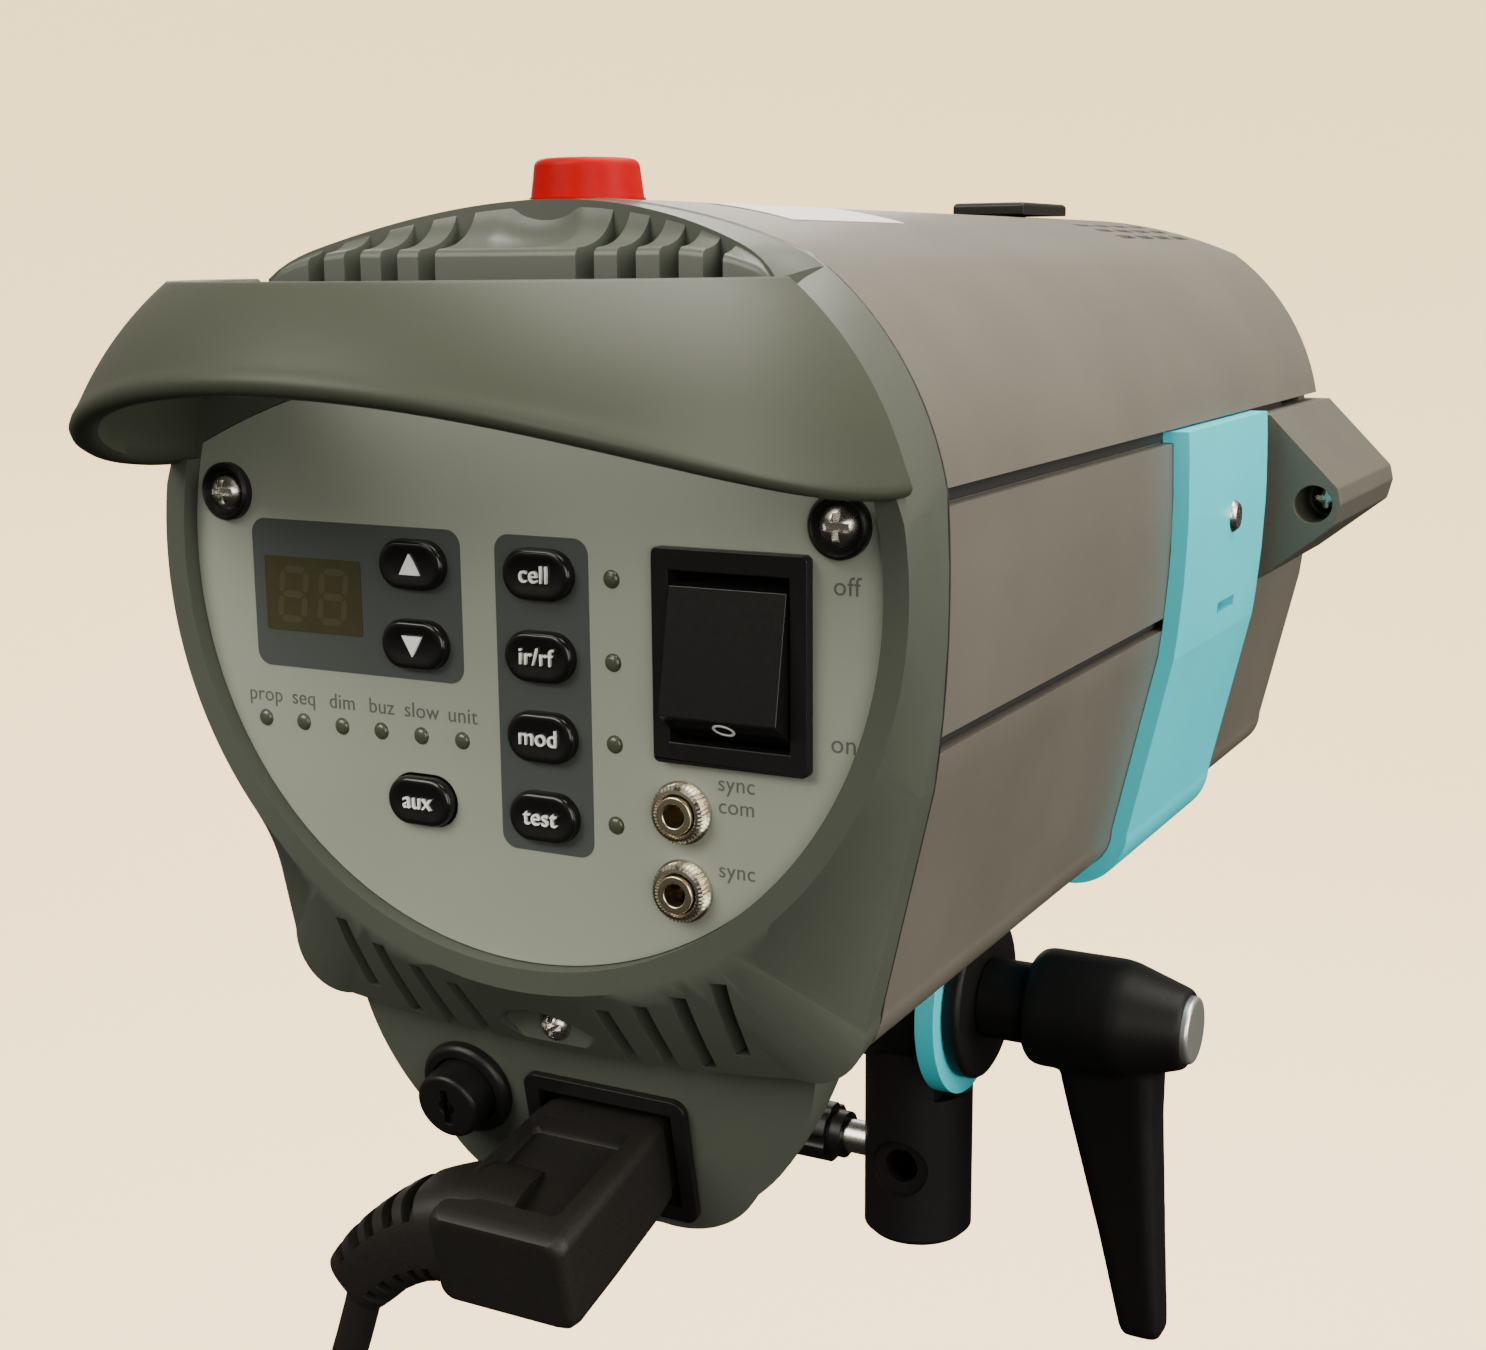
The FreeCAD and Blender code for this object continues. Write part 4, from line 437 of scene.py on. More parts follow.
# %% Mains lead
CORD_D = 6.0
CORD_Y = -172.0
COIL_X, COIL_Z = -15.0, -69.0
COIL_R = 47.0
COIL_PITCH = 6.2
COIL_LAYERS = 4
COIL_COLUMNS = 5
cord_route = [
    (-26.6, CORD_Y, 61.5), (-30.4, CORD_Y, 48.5), (-39.5, CORD_Y, 27.5),
    (-51.0, CORD_Y, 5.0), (-59.5, CORD_Y, -19.0), (-62.0, CORD_Y, -43.0),
]
STEPS_PER_TURN = 16
turns = COIL_LAYERS * COIL_COLUMNS
coil_points = []
for step in range(turns * STEPS_PER_TURN + 1):
    turn = step / STEPS_PER_TURN
    layer = min(int(turn / COIL_COLUMNS), COIL_LAYERS - 1)
    along = turn - layer * COIL_COLUMNS
    sweep = along / COIL_COLUMNS * 2 - 1
    side = -1 if layer % 2 else 1
    half = (COIL_COLUMNS - 1) * COIL_PITCH / 2
    y = CORD_Y - side * sweep * half
    step_in = max(0.0, (along - COIL_COLUMNS + 0.5) / 0.5) if layer < COIL_LAYERS - 1 else 0.0
    radius = COIL_R - (layer + step_in) * COIL_PITCH
    angle = math.pi + 2 * math.pi * turn
    coil_points.append((COIL_X + radius * math.cos(angle), y, COIL_Z + radius * math.sin(angle)))
print("coil points", len(coil_points))

# %% Wind the coil and hang the lead
last_turn = math.pi * 2 * turns + math.pi
tail = [(COIL_X + r * math.cos(last_turn + a), y, COIL_Z + r * math.sin(last_turn + a))
        for r, a, y in ((28.4, 0.4, -158.5), (28.6, 0.9, -155.5), (29.0, 1.5, -150.0), (29.5, 2.1, -144.0),
                        (29.8, 2.6, -139.5))]
entry = (15.0, -136.0, -61.0)
# how far each point of the route leans back to meet the first turn of the coil
drift = (0.0, 0.0, 1.0, 3.0, 6.0, 9.5)
lead = [(x, y + d, z) for (x, y, z), d in zip(cord_route, drift)]
line = lead + coil_points + tail + [(15.0, -136.2, -68.0), entry]
curve = bpy.data.curves.new("mains_lead", "CURVE")
curve.dimensions = "3D"
spline = curve.splines.new("NURBS")
spline.points.add(len(line) - 1)
for point, place in zip(spline.points, line):
    point.co = (*[v * MM for v in place], 1)
spline.order_u = 3
spline.use_endpoint_u = True
spline.resolution_u = 4
curve.bevel_depth = CORD_D / 2 * MM
curve.bevel_resolution = 4
curve.materials.append(cord_rubber)
mains_lead = bpy.data.objects.new("mains_lead", curve)
bpy.context.scene.collection.objects.link(mains_lead)
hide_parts("mains_cord", "cord_coil")
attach(mains_lead, "lamp_head")

# %% [markdown]
# Hook-and-loop ties hold the lead when it is put away. Each is a closed band round the bundle of turns,
# with a section between an ellipse and a rectangle, because webbing pulled tight takes that shape.

# %% Two ties round the coil
def coil_tie(name, degrees):
    """A hook-and-loop band that wraps the bundle of turns at one place."""
    middle = COIL_R - (COIL_LAYERS - 1) * COIL_PITCH / 2
    out = Vector((math.cos(math.radians(degrees)), 0, math.sin(math.radians(degrees))))
    along = Vector((-out.z, 0, out.x))
    centre = Vector((COIL_X, CORD_Y, COIL_Z)) + out * middle
    high = (COIL_LAYERS - 1) * COIL_PITCH / 2 + CORD_D / 2
    wide = (COIL_COLUMNS - 1) * COIL_PITCH / 2 + CORD_D / 2
    rows = []
    for w in (-7.5, -7.2, 7.2, 7.5):
        inset = 0.0 if abs(w) > 7.4 else 1.0
        row = []
        for k in range(40):
            a = 2 * math.pi * k / 40
            c, s = math.cos(a), math.sin(a)
            reach_y = (wide + inset) * math.copysign(abs(c) ** 0.45, c)
            reach_o = (high + inset) * math.copysign(abs(s) ** 0.45, s)
            row.append(centre + along * w + Vector((0, reach_y, 0)) + out * reach_o)
        rows.append(row)
    points, faces = skin(rows, ring=True)
    return piece(name, points, faces, tie_webbing, "lamp_head", slot="cord_pvc")


tie_webbing = finish("tie_webbing", (0.02, 0.02, 0.021), 0.85, tone=0.25, grain_mm=0.9, depth=0.12,
                     shine=0.12)
ties = [coil_tie("coil_tie_upper", 62), coil_tie("coil_tie_lower", 250)]
print("lead", len(line), "points")

# %% [markdown]
# The hood over the panel. On the real head it is part of the rear cap and is the handle that the head
# is carried and aimed by: a bowed shell that starts thin on the roof and ends in a round bead that is
# kind to the fingers. A cube with a subdivision surface could be pulled into it, but its two curves,
# the lip and the roof line, are known, so it is skinned between them, one closed section per step.

# %% Hood over the panel
PANEL_Y = -163.0
LIP = (66.0, 60.0, 211.0, 140.0)        # half width, reach, height at the middle, bow radius
ROOF_LINE = (47.0, 49.0, 224.0)         # half width, reach, height
BOW_R = 51.0


def hood_section(turn):
    """One closed ring of points across the hood wall, at this angle round from the middle."""
    x = LIP[0] * math.sin(turn)
    lip = Vector((x, PANEL_Y - 0.1 - LIP[1] * math.cos(turn),
                  LIP[2] - LIP[3] + math.sqrt(LIP[3] ** 2 - x * x)))
    roof = Vector((ROOF_LINE[0] * math.sin(turn), PANEL_Y - 0.1 - ROOF_LINE[1] * math.cos(turn),
                   ROOF_LINE[2]))
    chord = roof - lip
    length = chord.length
    along = chord / length
    out = Vector((math.sin(turn), -math.cos(turn), 0))
    out = (out - along * out.dot(along)).normalized()
    bulge = length ** 2 / (8 * BOW_R)
    outer, inner = [], []
    for k in range(19):
        s = k / 18
        bead = 1.0 + 0.22 * math.exp(-(s / 0.05) ** 2)
        wall = (2.2 + 0.9 * (1 - s) ** 2) * bead
        trim_low = 1.5 / length
        t = trim_low + s * (1 - trim_low - 1.0 / length)
        normal = (out * length - along * bulge * 4 * (1 - 2 * t)).normalized()
        middle = lip + along * (length * t) + out * (bulge * 4 * t * (1 - t))
        outer.append(middle + normal * (wall * (bead - 1) * 0.3))
        inner.append(middle - normal * wall)
    ring = list(outer)
    for end_a, end_b, way in ((outer[-1], inner[-1], along), (inner[0], outer[0], -along)):
        middle = (end_a + end_b) / 2
        half = (end_a - end_b).length / 2
        across = (end_a - end_b).normalized()
        cap = [middle + across * half * math.cos(a) + way * half * math.sin(a)
               for a in (math.pi * n / 6 for n in range(1, 6))]
        ring += cap
        if end_a is outer[-1]:
            ring += inner[::-1]
    return ring


hood_rows = [hood_section(math.radians(-90 + 180 * k / 72)) for k in range(73)]
points, faces = skin(hood_rows, ring=True, caps=True)
piece("hood_visor", points, faces, hood_plastic, "lamp_head", 50, ["hood_handle"], "cap_plastic")
print("hood", len(points), "points")

# %% [markdown]
# Behind the hood's roof line the cap is cut into a comb of blocks that let warm air out. Their tops
# sweep up like a quarter pipe to meet the roof in an arch, and the broad middle block has a thumb
# scoop in front of the red lens. Each block is skinned over a small grid whose height is a formula,
# and the roof's own height is felt for by dropping a ray on the cap, so that the two always meet.

# %% Comb of roof blocks
from mathutils.bvhtree import BVHTree

ARCH_HALF, ARCH_DEEP = 45.5, 12.0
GAP_AT = (14.1, 21.15, 28.2, 35.3)
GAP_W = 3.2
SCOOP = (13.5, 8.0, 7.6)                # half width, half depth and sink of the thumb scoop
SCOOP_Y, SCOOP_Z = -158.3, 235.3
ROOF_Z, CREASE_DROP, CREASE_X = 235.8, 8.9, 42.8
CAP_ROOF_Z = 235.0
cap_mesh = nodes["rear_housing"].data
cap_corners = [v.co.copy() for v in cap_mesh.vertices]
cap_tree = BVHTree.FromPolygons(cap_corners, [p.vertices[:] for p in cap_mesh.polygons])


def roof_fall(x):
    """How far the crowned roof has fallen at x."""
    return CREASE_DROP * (x / CREASE_X) ** 2


def arch_y(x):
    """How far forward the comb's arch stands at x."""
    return PANEL_Y + ARCH_DEEP * (1 - (x / ARCH_HALF) ** 2)


def skin_z(x, y):
    """Height of the cap's outer skin."""
    hit = cap_tree.ray_cast(Vector((x, y, 260)) * MM, Vector((0, 0, -1)))[0]
    return hit.z / MM if hit and hit.z > 0.2 else CAP_ROOF_Z - roof_fall(x)


def arch_z(x):
    """Height of the arch; it sinks towards the skin at its two ends."""
    full = 235.3 - 10.2 * (x / ARCH_HALF) ** 2
    sink = 0.45 * max(0.0, (abs(x) - 38) / 7.5) ** 2
    return full - sink * max(0.0, full - skin_z(x, arch_y(x) + 2))


def comb_profile(x):
    """Closed ring in the upright plane at x: front face, rounded brow, quarter pipe, and back down."""
    back, high = arch_y(x) + 0.4, arch_z(x)
    brow = min(228.0 - 3.2 * max(0.0, (abs(x) - 28) / 16) ** 2, high - 0.5)
    ring = [(PANEL_Y + 0.05, 218.0), (PANEL_Y + 0.05, brow - 1.3)]
    ring += [(PANEL_Y + 0.05 + 1.3 * (1 - math.cos(a)), brow - 1.3 + 1.3 * math.sin(a))
             for a in (math.pi / 8, math.pi / 4, 3 * math.pi / 8, math.pi / 2)]
    y0, z0 = ring[-1]
    for k in range(1, 17):
        t = k / 16
        y = y0 * (1 - t) ** 2 + (y0 + 0.8 * (back - y0)) * 2 * t * (1 - t) + back * t * t
        z = z0 * (1 - t) ** 2 + (z0 + 0.5) * 2 * t * (1 - t) + high * t * t
        under = 1 - (x / SCOOP[0]) ** 2 - ((y - SCOOP_Y) / SCOOP[1]) ** 2
        if under > 0:
            z = min(z, SCOOP_Z - SCOOP[2] * math.sqrt(under))
        ring.append((y, max(z, 219.0)))
    ring.append((back, 218.0))
    return [Vector((x, y, z)) for y, z in ring]


edges = [-ARCH_HALF + 0.3]
for gap in [-g for g in reversed(GAP_AT)] + list(GAP_AT):
    edges += [gap - GAP_W / 2, gap + GAP_W / 2]
edges.append(ARCH_HALF - 0.3)
comb_points, comb_faces = [], []
for x0, x1 in zip(edges[::2], edges[1::2]):
    columns = max(4, int((x1 - x0) / 0.8))
    rows = [comb_profile(x0 + (x1 - x0) * k / columns) for k in range(columns + 1)]
    points, faces = skin(rows, ring=True, caps=True)
    add_skin(comb_points, comb_faces, points, faces)
comb = piece("roof_comb", comb_points, comb_faces, cap_plastic, "lamp_head", 30, ["rear_vent_grille"],
             "cap_plastic")
soften(comb, 0.45, 2, 50)
# The trough under the comb's gaps is near-black painted shade: in there the cap plastic only lies in shade.
TROUGH_TOP, TROUGH_LOW = 218.6, 217.6
trough_rows = []
for k in range(49):
    x = -ARCH_HALF + 2 * ARCH_HALF * k / 48
    high = arch_z(x) - 0.5
    front, back = PANEL_Y + 0.4, max(arch_y(x) + 0.9, PANEL_Y + 1.2)
    ring = ((front, TROUGH_TOP), (back, TROUGH_TOP), (back, high), (back + 0.8, high),
            (back + 0.8, TROUGH_LOW), (front, TROUGH_LOW))
    trough_rows.append([Vector((x, y, z)) for y, z in ring])
points, faces = skin(trough_rows, ring=True, caps=True)
piece("comb_trough", points, faces, shadow_plastic, "lamp_head", 30, slot="black_plastic")
shoulder_rows = []
for k in range(61):
    x = (ARCH_HALF - 0.4) * (2 * k / 60 - 1)
    y, z = arch_y(x), arch_z(x)
    run_out = -147.2
    slope = [(y + (run_out - y) * s, z + 0.05 + (skin_z(x, run_out) + 0.03 - z) * (s * s * (3 - 2 * s)))
             for s in (0.0, 0.04, 0.2, 0.35, 0.5, 0.65, 0.8, 0.9, 1.0)]
    ring = [(y, z - 10.5), (y, z - 0.4)] + slope + [(run_out, skin_z(x, run_out) - 1.2)]
    shoulder_rows.append([Vector((x, py, pz)) for py, pz in ring])
points, faces = skin(shoulder_rows, ring=True, caps=True)
piece("arch_shoulder", points, faces, cap_plastic, "lamp_head", 40, slot="cap_plastic")
print("comb blocks", len(edges) // 2, "skin", round(skin_z(0, -150), 1), round(skin_z(40, -157), 1))

# %% [markdown]
# The clamping lever is one glass-filled nylon moulding: a drum round the clamp's splines, a nose that
# carries the silver cap, and a flat tapered arm. The drum and the arm flow into each other, and a
# voxel remesh followed by a little smoothing gives just that, as filler would on a wooden pattern.

# %% Clamping lever
DRUM_Z = 60.0
low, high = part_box("clamp_lever")
LEVER_Y = (low.y + high.y) / 2 / MM


def rounded_ring(centre, half_x, half_y, radius, steps=6):
    """A level rounded rectangle."""
    ring = []
    for corner, (sx, sy) in enumerate(((1, 1), (-1, 1), (-1, -1), (1, -1))):
        for k in range(steps + 1):
            a = math.pi / 2 * (corner + k / steps)
            ring.append(Vector((centre[0] + sx * (half_x - radius) + radius * math.cos(a),
                                centre[1] + sy * (half_y - radius) + radius * math.sin(a), centre[2])))
    return ring


DRUM = ((28.4, 0.0), (28.4, 11.4), (29.6, 12.9), (31.2, 13.35), (48.5, 13.35), (51.0, 12.9), (63.2, 9.0),
        (64.0, 8.3), (64.0, 7.5), (59.4, 7.5), (59.4, 0.0))
drum_rows = turned(DRUM, (0, LEVER_Y, DRUM_Z), (1, 0, 0), 64)
points, faces = skin(drum_rows, ring=True)
ARM = ((56.0, 46.6, 11.2, 7.0), (46.0, 46.9, 10.9, 6.9), (38.0, 47.9, 9.9, 6.6), (10.0, 52.4, 6.9, 5.6),
       (-12.2, 55.7, 4.9, 4.8), (-14.0, 55.9, 4.2, 4.1))
arm_rows = [rounded_ring((x, LEVER_Y, z), half_x, half_y, min(half_x, half_y) * 0.5)
            for z, x, half_x, half_y in ARM]
add_skin(points, faces, *skin(arm_rows, ring=True, caps=True))
lever_mesh = piece("lever_grip", points, faces, lever_nylon, "lever", 60, ["clamp_lever"], "black_plastic")
bpy.context.view_layer.objects.active = lever_mesh
for kind, settings in (("REMESH", {"mode": "VOXEL", "voxel_size": 0.62 * MM}),
                       ("SMOOTH", {"factor": 0.6, "iterations": 7})):
    step = lever_mesh.modifiers.new(kind.lower(), kind)
    for key, value in settings.items():
        setattr(step, key, value)
lever_mesh.data.shade_smooth()
graph = bpy.context.evaluated_depsgraph_get()
flowed = bpy.data.meshes.new_from_object(lever_mesh.evaluated_get(graph))
lever_mesh.modifiers.clear()
lever_mesh.data = flowed
flowed.shade_smooth()
print("lever", len(flowed.vertices), "points")

# %% [markdown]
# The right-angled mains connector: a rubbery block with a finger recess on top, whose left side runs
# on into the strain relief. The relief is skinned along its bent line; where a slot falls, the ring is
# drawn in above and below but not along the middle, which leaves the spine that carries the pull.

# %% Connector block
CHIN_TILT = math.radians(12)
INLET = Vector((4.0, -143.75, 79.0))
OUT = Vector((0, -math.cos(CHIN_TILT), -math.sin(CHIN_TILT)))
RISE = Vector((0, -math.sin(CHIN_TILT), math.cos(CHIN_TILT)))


def on_inlet(x, out, rise):
    """A point given across, out of and up the sloping inlet."""
    return INLET + Vector((x, 0, 0)) + OUT * out + RISE * rise


def inlet_ring(x0, x1, rise0, rise1, out, radius, steps=5):
    """A rounded rectangle at one distance out of the inlet."""
    ring = rounded_ring(((x0 + x1) / 2, (rise0 + rise1) / 2, 0), (x1 - x0) / 2, (rise1 - rise0) / 2, radius,
                        steps)
    return [on_inlet(p.x, out, p.y) for p in ring]


X0, X1 = -12.8, 13.0
shape = ((-1.6, 1.6, 7.2), (1.4, 1.6, 7.6), (1.7, 1.4, 8.2), (6.0, 1.0, 8.5), (22.0, 0.3, 8.6),
         (33.4, 0.0, 8.6),
         (35.0, 0.25, 8.3), (35.8, 0.9, 7.7), (36.0, 1.9, 6.8))
rows = [inlet_ring(X0 + inset, X1 - inset, -rise, rise, out, 2.4) for out, inset, rise in shape]
points, faces = skin(rows, ring=True, caps=True)
block = piece("connector_block", points, faces, cord_rubber, "lamp_head", 40, ["mains_connector"], "cord_pvc")
well = []
for inset, rise in ((0.0, 12.0), (0.0, 8.7), (0.1, 6.2), (0.7, 5.4)):
    ring = rounded_ring(((X0 + X1) / 2 - 1.0, 18.5, 0), 9.6 - inset, 11.5 - inset, 1.2, 4)
    well.append([on_inlet(p.x, p.y, rise) for p in ring])
points, faces = skin(well, ring=True, caps=True)
cutter = bpy.data.meshes.new("recess_cutter")
cutter.from_pydata([p * MM for p in points], [], faces)
cutter_piece = bpy.data.objects.new("recess_cutter", cutter)
bpy.context.scene.collection.objects.link(cutter_piece)
cut = block.modifiers.new("recess", "BOOLEAN")
cut.operation = "DIFFERENCE"
cut.object = cutter_piece
cut.solver = "EXACT"
graph = bpy.context.evaluated_depsgraph_get()
block.data = bpy.data.meshes.new_from_object(block.evaluated_get(graph))
block.modifiers.clear()
bpy.data.objects.remove(cutter_piece)
smooth_by_angle(block, 38)
even = block.modifiers.new("even_shading", "WEIGHTED_NORMAL")
even.keep_sharp = True
print("connector", len(block.data.vertices), "points")

# %% Strain relief with its slots
relief_line = [Vector(p) for p in ((2.0, -167.5, 72.6), (-6.0, -169.0, 73.4), (-14.0, -170.6, 71.8),
                                   (-21.5, -171.7, 67.0), (-27.6, -172.1, 60.7))]


def along_line(line, t):
    """Point and heading on the smooth line through the chosen places."""
    place = t * (len(line) - 1)
    i = min(int(place), len(line) - 2)
    f = place - i
    p0, p1, p2, p3 = line[max(i - 1, 0)], line[i], line[i + 1], line[min(i + 2, len(line) - 1)]
    spot = ((p1 * 2) + (p2 - p0) * f + (p0 * 2 - p1 * 5 + p2 * 4 - p3) * f ** 2
            + (p1 * 3 - p0 - p2 * 3 + p3) * f ** 3) / 2
    heading = ((p2 - p0) + (p0 * 2 - p1 * 5 + p2 * 4 - p3) * 2 * f
               + (p1 * 3 - p0 - p2 * 3 + p3) * 3 * f ** 2) / 2
    return spot, heading.normalized()


relief_rows = []
STATIONS = 96
for n in range(STATIONS + 1):
    t = n / STATIONS
    spot, heading = along_line(relief_line, t)
    deep = Vector((0, -1, 0)) - heading * heading.dot(Vector((0, -1, 0)))
    deep.normalize()
    lift = deep.cross(heading)
    lift = -lift if lift.z < 0 else lift
    half_high = 8.9 - 2.9 * max(0.0, (t - 0.3) / 0.7) ** 0.8
    half_deep = 9.4 - 3.2 * max(0.0, (t - 0.3) / 0.7)
    close = max(0.0, (t - 0.965) / 0.035)
    half_high -= 1.0 * close ** 2
    half_deep -= 1.0 * close ** 2
    phase = (t - 0.42) / 0.50 * 5
    in_slot = 0.42 < t < 0.92 and 0.28 < phase % 1 < 0.72
    ring = []
    for k in range(56):
        a = 2 * math.pi * k / 56
        c, s = math.cos(a), math.sin(a)
        c2 = math.copysign(abs(c) ** 0.62, c)
        s2 = math.copysign(abs(s) ** 0.62, s)
        sink = 2.3 if in_slot and abs(s) > 0.42 else 0.0
        ring.append(spot + deep * c2 * (half_deep - sink * 0.5) + lift * s2 * (half_high - sink))
    relief_rows.append(ring)
points, faces = skin(relief_rows, ring=True, caps=True)
relief = piece("connector_relief", points, faces, cord_rubber, "lamp_head", 40, ["cord_strain_relief"],
               "cord_pvc")
print("relief ends at", [round(v, 1) for v in relief_line[-1]])

# %% [markdown]
# The lead with everything on it: the connector in the inlet, its relief, the two ties and the plug at
# the far end. It leaves the relief, and all but its first stretch lies in the coil.

# %% [markdown]
# The control panel. Its dark fields and words are screen-printed, a few hundredths of a millimetre
# thick, so they are made as thin plates and thin raised letters that stand just off the film. Only
# plain function words are used. A picture texture would be quicker, but it would blur close up.

# %% Printed fields and lettering
FILM_Y = PANEL_Y
DATUM = 161.0
INK = 0.06


def printed_field(name, x0, x1, z0, z1, radius, material, thick=INK):
    """A rounded rectangle of ink or a plate on the panel."""
    ring = rounded_ring(((x0 + x1) / 2, (z0 + z1) / 2, 0), (x1 - x0) / 2, (z1 - z0) / 2, radius, 8)
    rows = [[Vector((p.x, y, p.y)) for p in ring] for y in (FILM_Y + 0.02, FILM_Y - thick)]
    points, faces = skin(rows, ring=True, caps=True)
    return piece(name, points, faces, material, "lamp_head", 30, slot="panel_film")


def words(name, text, x, z, height, material, y=FILM_Y, body="lamp_head", thick=INK):
    """Raised lettering that faces -Y, centred on x and z."""
    letter = bpy.data.curves.new(name, "FONT")
    letter.body = text
    letter.size = height * MM
    letter.align_x = "CENTER"
    letter.align_y = "CENTER"
    letter.extrude = thick / 2 * MM
    letter.space_character = 1.04
    holder = bpy.data.objects.new(name + "_type", letter)
    bpy.context.scene.collection.objects.link(holder)
    graph = bpy.context.evaluated_depsgraph_get()
    mesh = bpy.data.meshes.new_from_object(holder.evaluated_get(graph))
    bpy.data.objects.remove(holder)
    mesh.transform(Matrix.Rotation(math.radians(90), 4, "X"))
    mesh.transform(Matrix.Translation(Vector((x, y - thick / 2, z)) * MM))
    mesh.name = name
    mesh.materials.clear()
    mesh.materials.append(material)
    made = bpy.data.objects.new(name, mesh)
    bpy.context.scene.collection.objects.link(made)
    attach(made, body)
    return made


printed_field("display_field", -51.1, -9.7, DATUM, DATUM + 24.4, 2.6, print_grey)
printed_field("key_field", -3.3, 13.6, DATUM - 25.4, DATUM + 24.3, 2.6, print_grey)
LED_X0, LED_STEP = -50.2, 7.935
for k, text in enumerate(("prop", "seq", "dim", "buz", "slow", "unit")):
    words(f"word_{text}", text, LED_X0 + LED_STEP * k + 0.2, DATUM - 5.1, 3.55, ink_grey)
words("word_off", "off", 56.2, DATUM + 19.8, 3.9, ink_grey)
words("word_on", "on", 55.8, DATUM - 3.0, 3.9, ink_grey)
words("word_sync_com", "sync\ncom", 38.4, DATUM - 12.6, 3.45, ink_grey)
words("word_sync", "sync", 38.4, DATUM - 24.2, 3.45, ink_grey)

# %% [markdown]
# Push keys: glossy pills with a shallow dish for the fingertip, each with its own word or arrow, and
# each riding on its own sprung body. A pill outline is drawn once and stepped up the side, round the
# brow and down into the dish.

# %% Push keys
KEY_L, KEY_W = 12.3, 8.0
KEYS = {
    "up": (-18.3, DATUM + 18.6), "down": (-18.3, DATUM + 5.85), "aux": (-18.3, DATUM - 19.6),
    "cell": (5.1, DATUM + 18.5), "remote": (5.1, DATUM + 5.8), "model": (5.1, DATUM - 6.8),
    "test": (5.1, DATUM - 19.5),
}
KEY_WORDS = {"aux": "aux", "cell": "cell", "remote": "ir/rf", "model": "mod", "test": "test"}


def pill_ring(x, z, inset, y, steps=14):
    """A round-ended outline, drawn in by inset, at depth y."""
    radius = KEY_W / 2 - inset
    straight = (KEY_L - KEY_W) / 2
    ring = []
    for side in (1, -1):
        for k in range(steps + 1):
            a = -math.pi / 2 + math.pi * k / steps
            ring.append(Vector((x + side * (straight + radius * math.cos(a)), y,
                                z + side * radius * math.sin(a))))
    return ring


KEY_SIDE = ((0.0, 0.35), (0.0, -1.1), (0.12, -1.5), (0.4, -1.78), (0.8, -1.88), (1.2, -1.84), (2.0, -1.62),
            (2.8, -1.48), (3.4, -1.44))
for key, (x, z) in KEYS.items():
    rows = [pill_ring(x, z, inset, FILM_Y + y) for inset, y in KEY_SIDE]
    points, faces = skin(rows, ring=True, caps=True)
    piece(f"{key}_key_cap", points, faces, polished_black, f"{key}_key", 40, [f"{key}_button"], "gloss_black")
    if key in KEY_WORDS:
        words(f"word_{key}_key", KEY_WORDS[key], x - 0.3, z, 3.85, mark_white, FILM_Y - 1.42, f"{key}_key",
              0.5)
    else:
        tip = 1.5 if key == "up" else -1.5
        corners = [Vector((x + dx, 0, z + dz)) for dx, dz in ((-1.9, -tip), (1.9, -tip), (0, tip * 1.2))]
        rows = [[c + Vector((0, FILM_Y + y, 0)) for c in corners] for y in (-1.3, -1.92)]
        points, faces = skin(rows, ring=True, caps=True)
        piece(f"{key}_arrow", points, faces, mark_white, f"{key}_key", 30, slot="panel_film")
print("keys", list(KEYS))

# %% [markdown]
# The display is an olive filter plate with two seven-bar figures behind it that are not lit, so they
# only show as a faint change of tone. The lamps beside the words are domed drops of smoked epoxy.

# %% Display and lamps
printed_field("display_glass", -48.7, -29.2, DATUM + 6.1, DATUM + 18.35, 0.5, display_lens, thick=0.16)
BAR = 1.15


def figure_eight(name, x, z, width, height):
    """Seven slanted bars with pointed ends."""
    lean = 0.12
    half_w, half_h = width / 2, height / 2
    joints = [(-half_w, half_h), (half_w, half_h), (-half_w, 0), (half_w, 0), (-half_w, -half_h),
              (half_w, -half_h)]
    bars = ((0, 1), (2, 3), (4, 5), (0, 2), (2, 4), (1, 3), (3, 5))
    points, faces = [], []
    for a, b in bars:
        start, end = Vector(joints[a]), Vector(joints[b])
        way = (end - start).normalized()
        across = Vector((-way.y, way.x)) * BAR / 2
        start, end = start + way * 0.25, end - way * 0.25
        outline = [start, start + way * BAR / 2 + across, end - way * BAR / 2 + across, end,
                   end - way * BAR / 2 - across, start + way * BAR / 2 - across]
        first = len(points)
        for y in (FILM_Y - 0.1, FILM_Y - 0.175):
            points += [Vector((x + p.x + p.y * lean, y, z + p.y)) for p in outline]
        faces.append(tuple(first + k for k in range(6)))
        faces.append(tuple(first + 6 + k for k in range(6)))
        faces += [(first + k, first + (k + 1) % 6, first + 6 + (k + 1) % 6, first + 6 + k) for k in range(6)]
    return piece(name, points, faces, unlit_bar, "lamp_head", 30, slot="led_lens")


figure_eight("tens_figure", -43.0, DATUM + 12.2, 4.8, 8.2)
figure_eight("units_figure", -34.9, DATUM + 12.2, 4.8, 8.2)
lamp_rows_at = [(LED_X0 + LED_STEP * k, DATUM - 9.1) for k in range(6)]
lamp_rows_at += [(17.6, DATUM + dz) for dz in (18.5, 5.8, -6.8, -19.5)]
lamp_points, lamp_faces = [], []
for x, z in lamp_rows_at:
    dome = [(0.0, 1.36), (0.25, 1.3), (0.45, 1.05), (0.6, 0.6), (0.64, 0.02)]
    rows = turned(dome, (x, FILM_Y + 0.05, z), (0, -1, 0), 24)
    points, faces = skin(rows, ring=True)
    add_skin(lamp_points, lamp_faces, points, faces)
piece("lamp_domes", lamp_points, lamp_faces, led_epoxy, "lamp_head", 50, slot="led_lens")
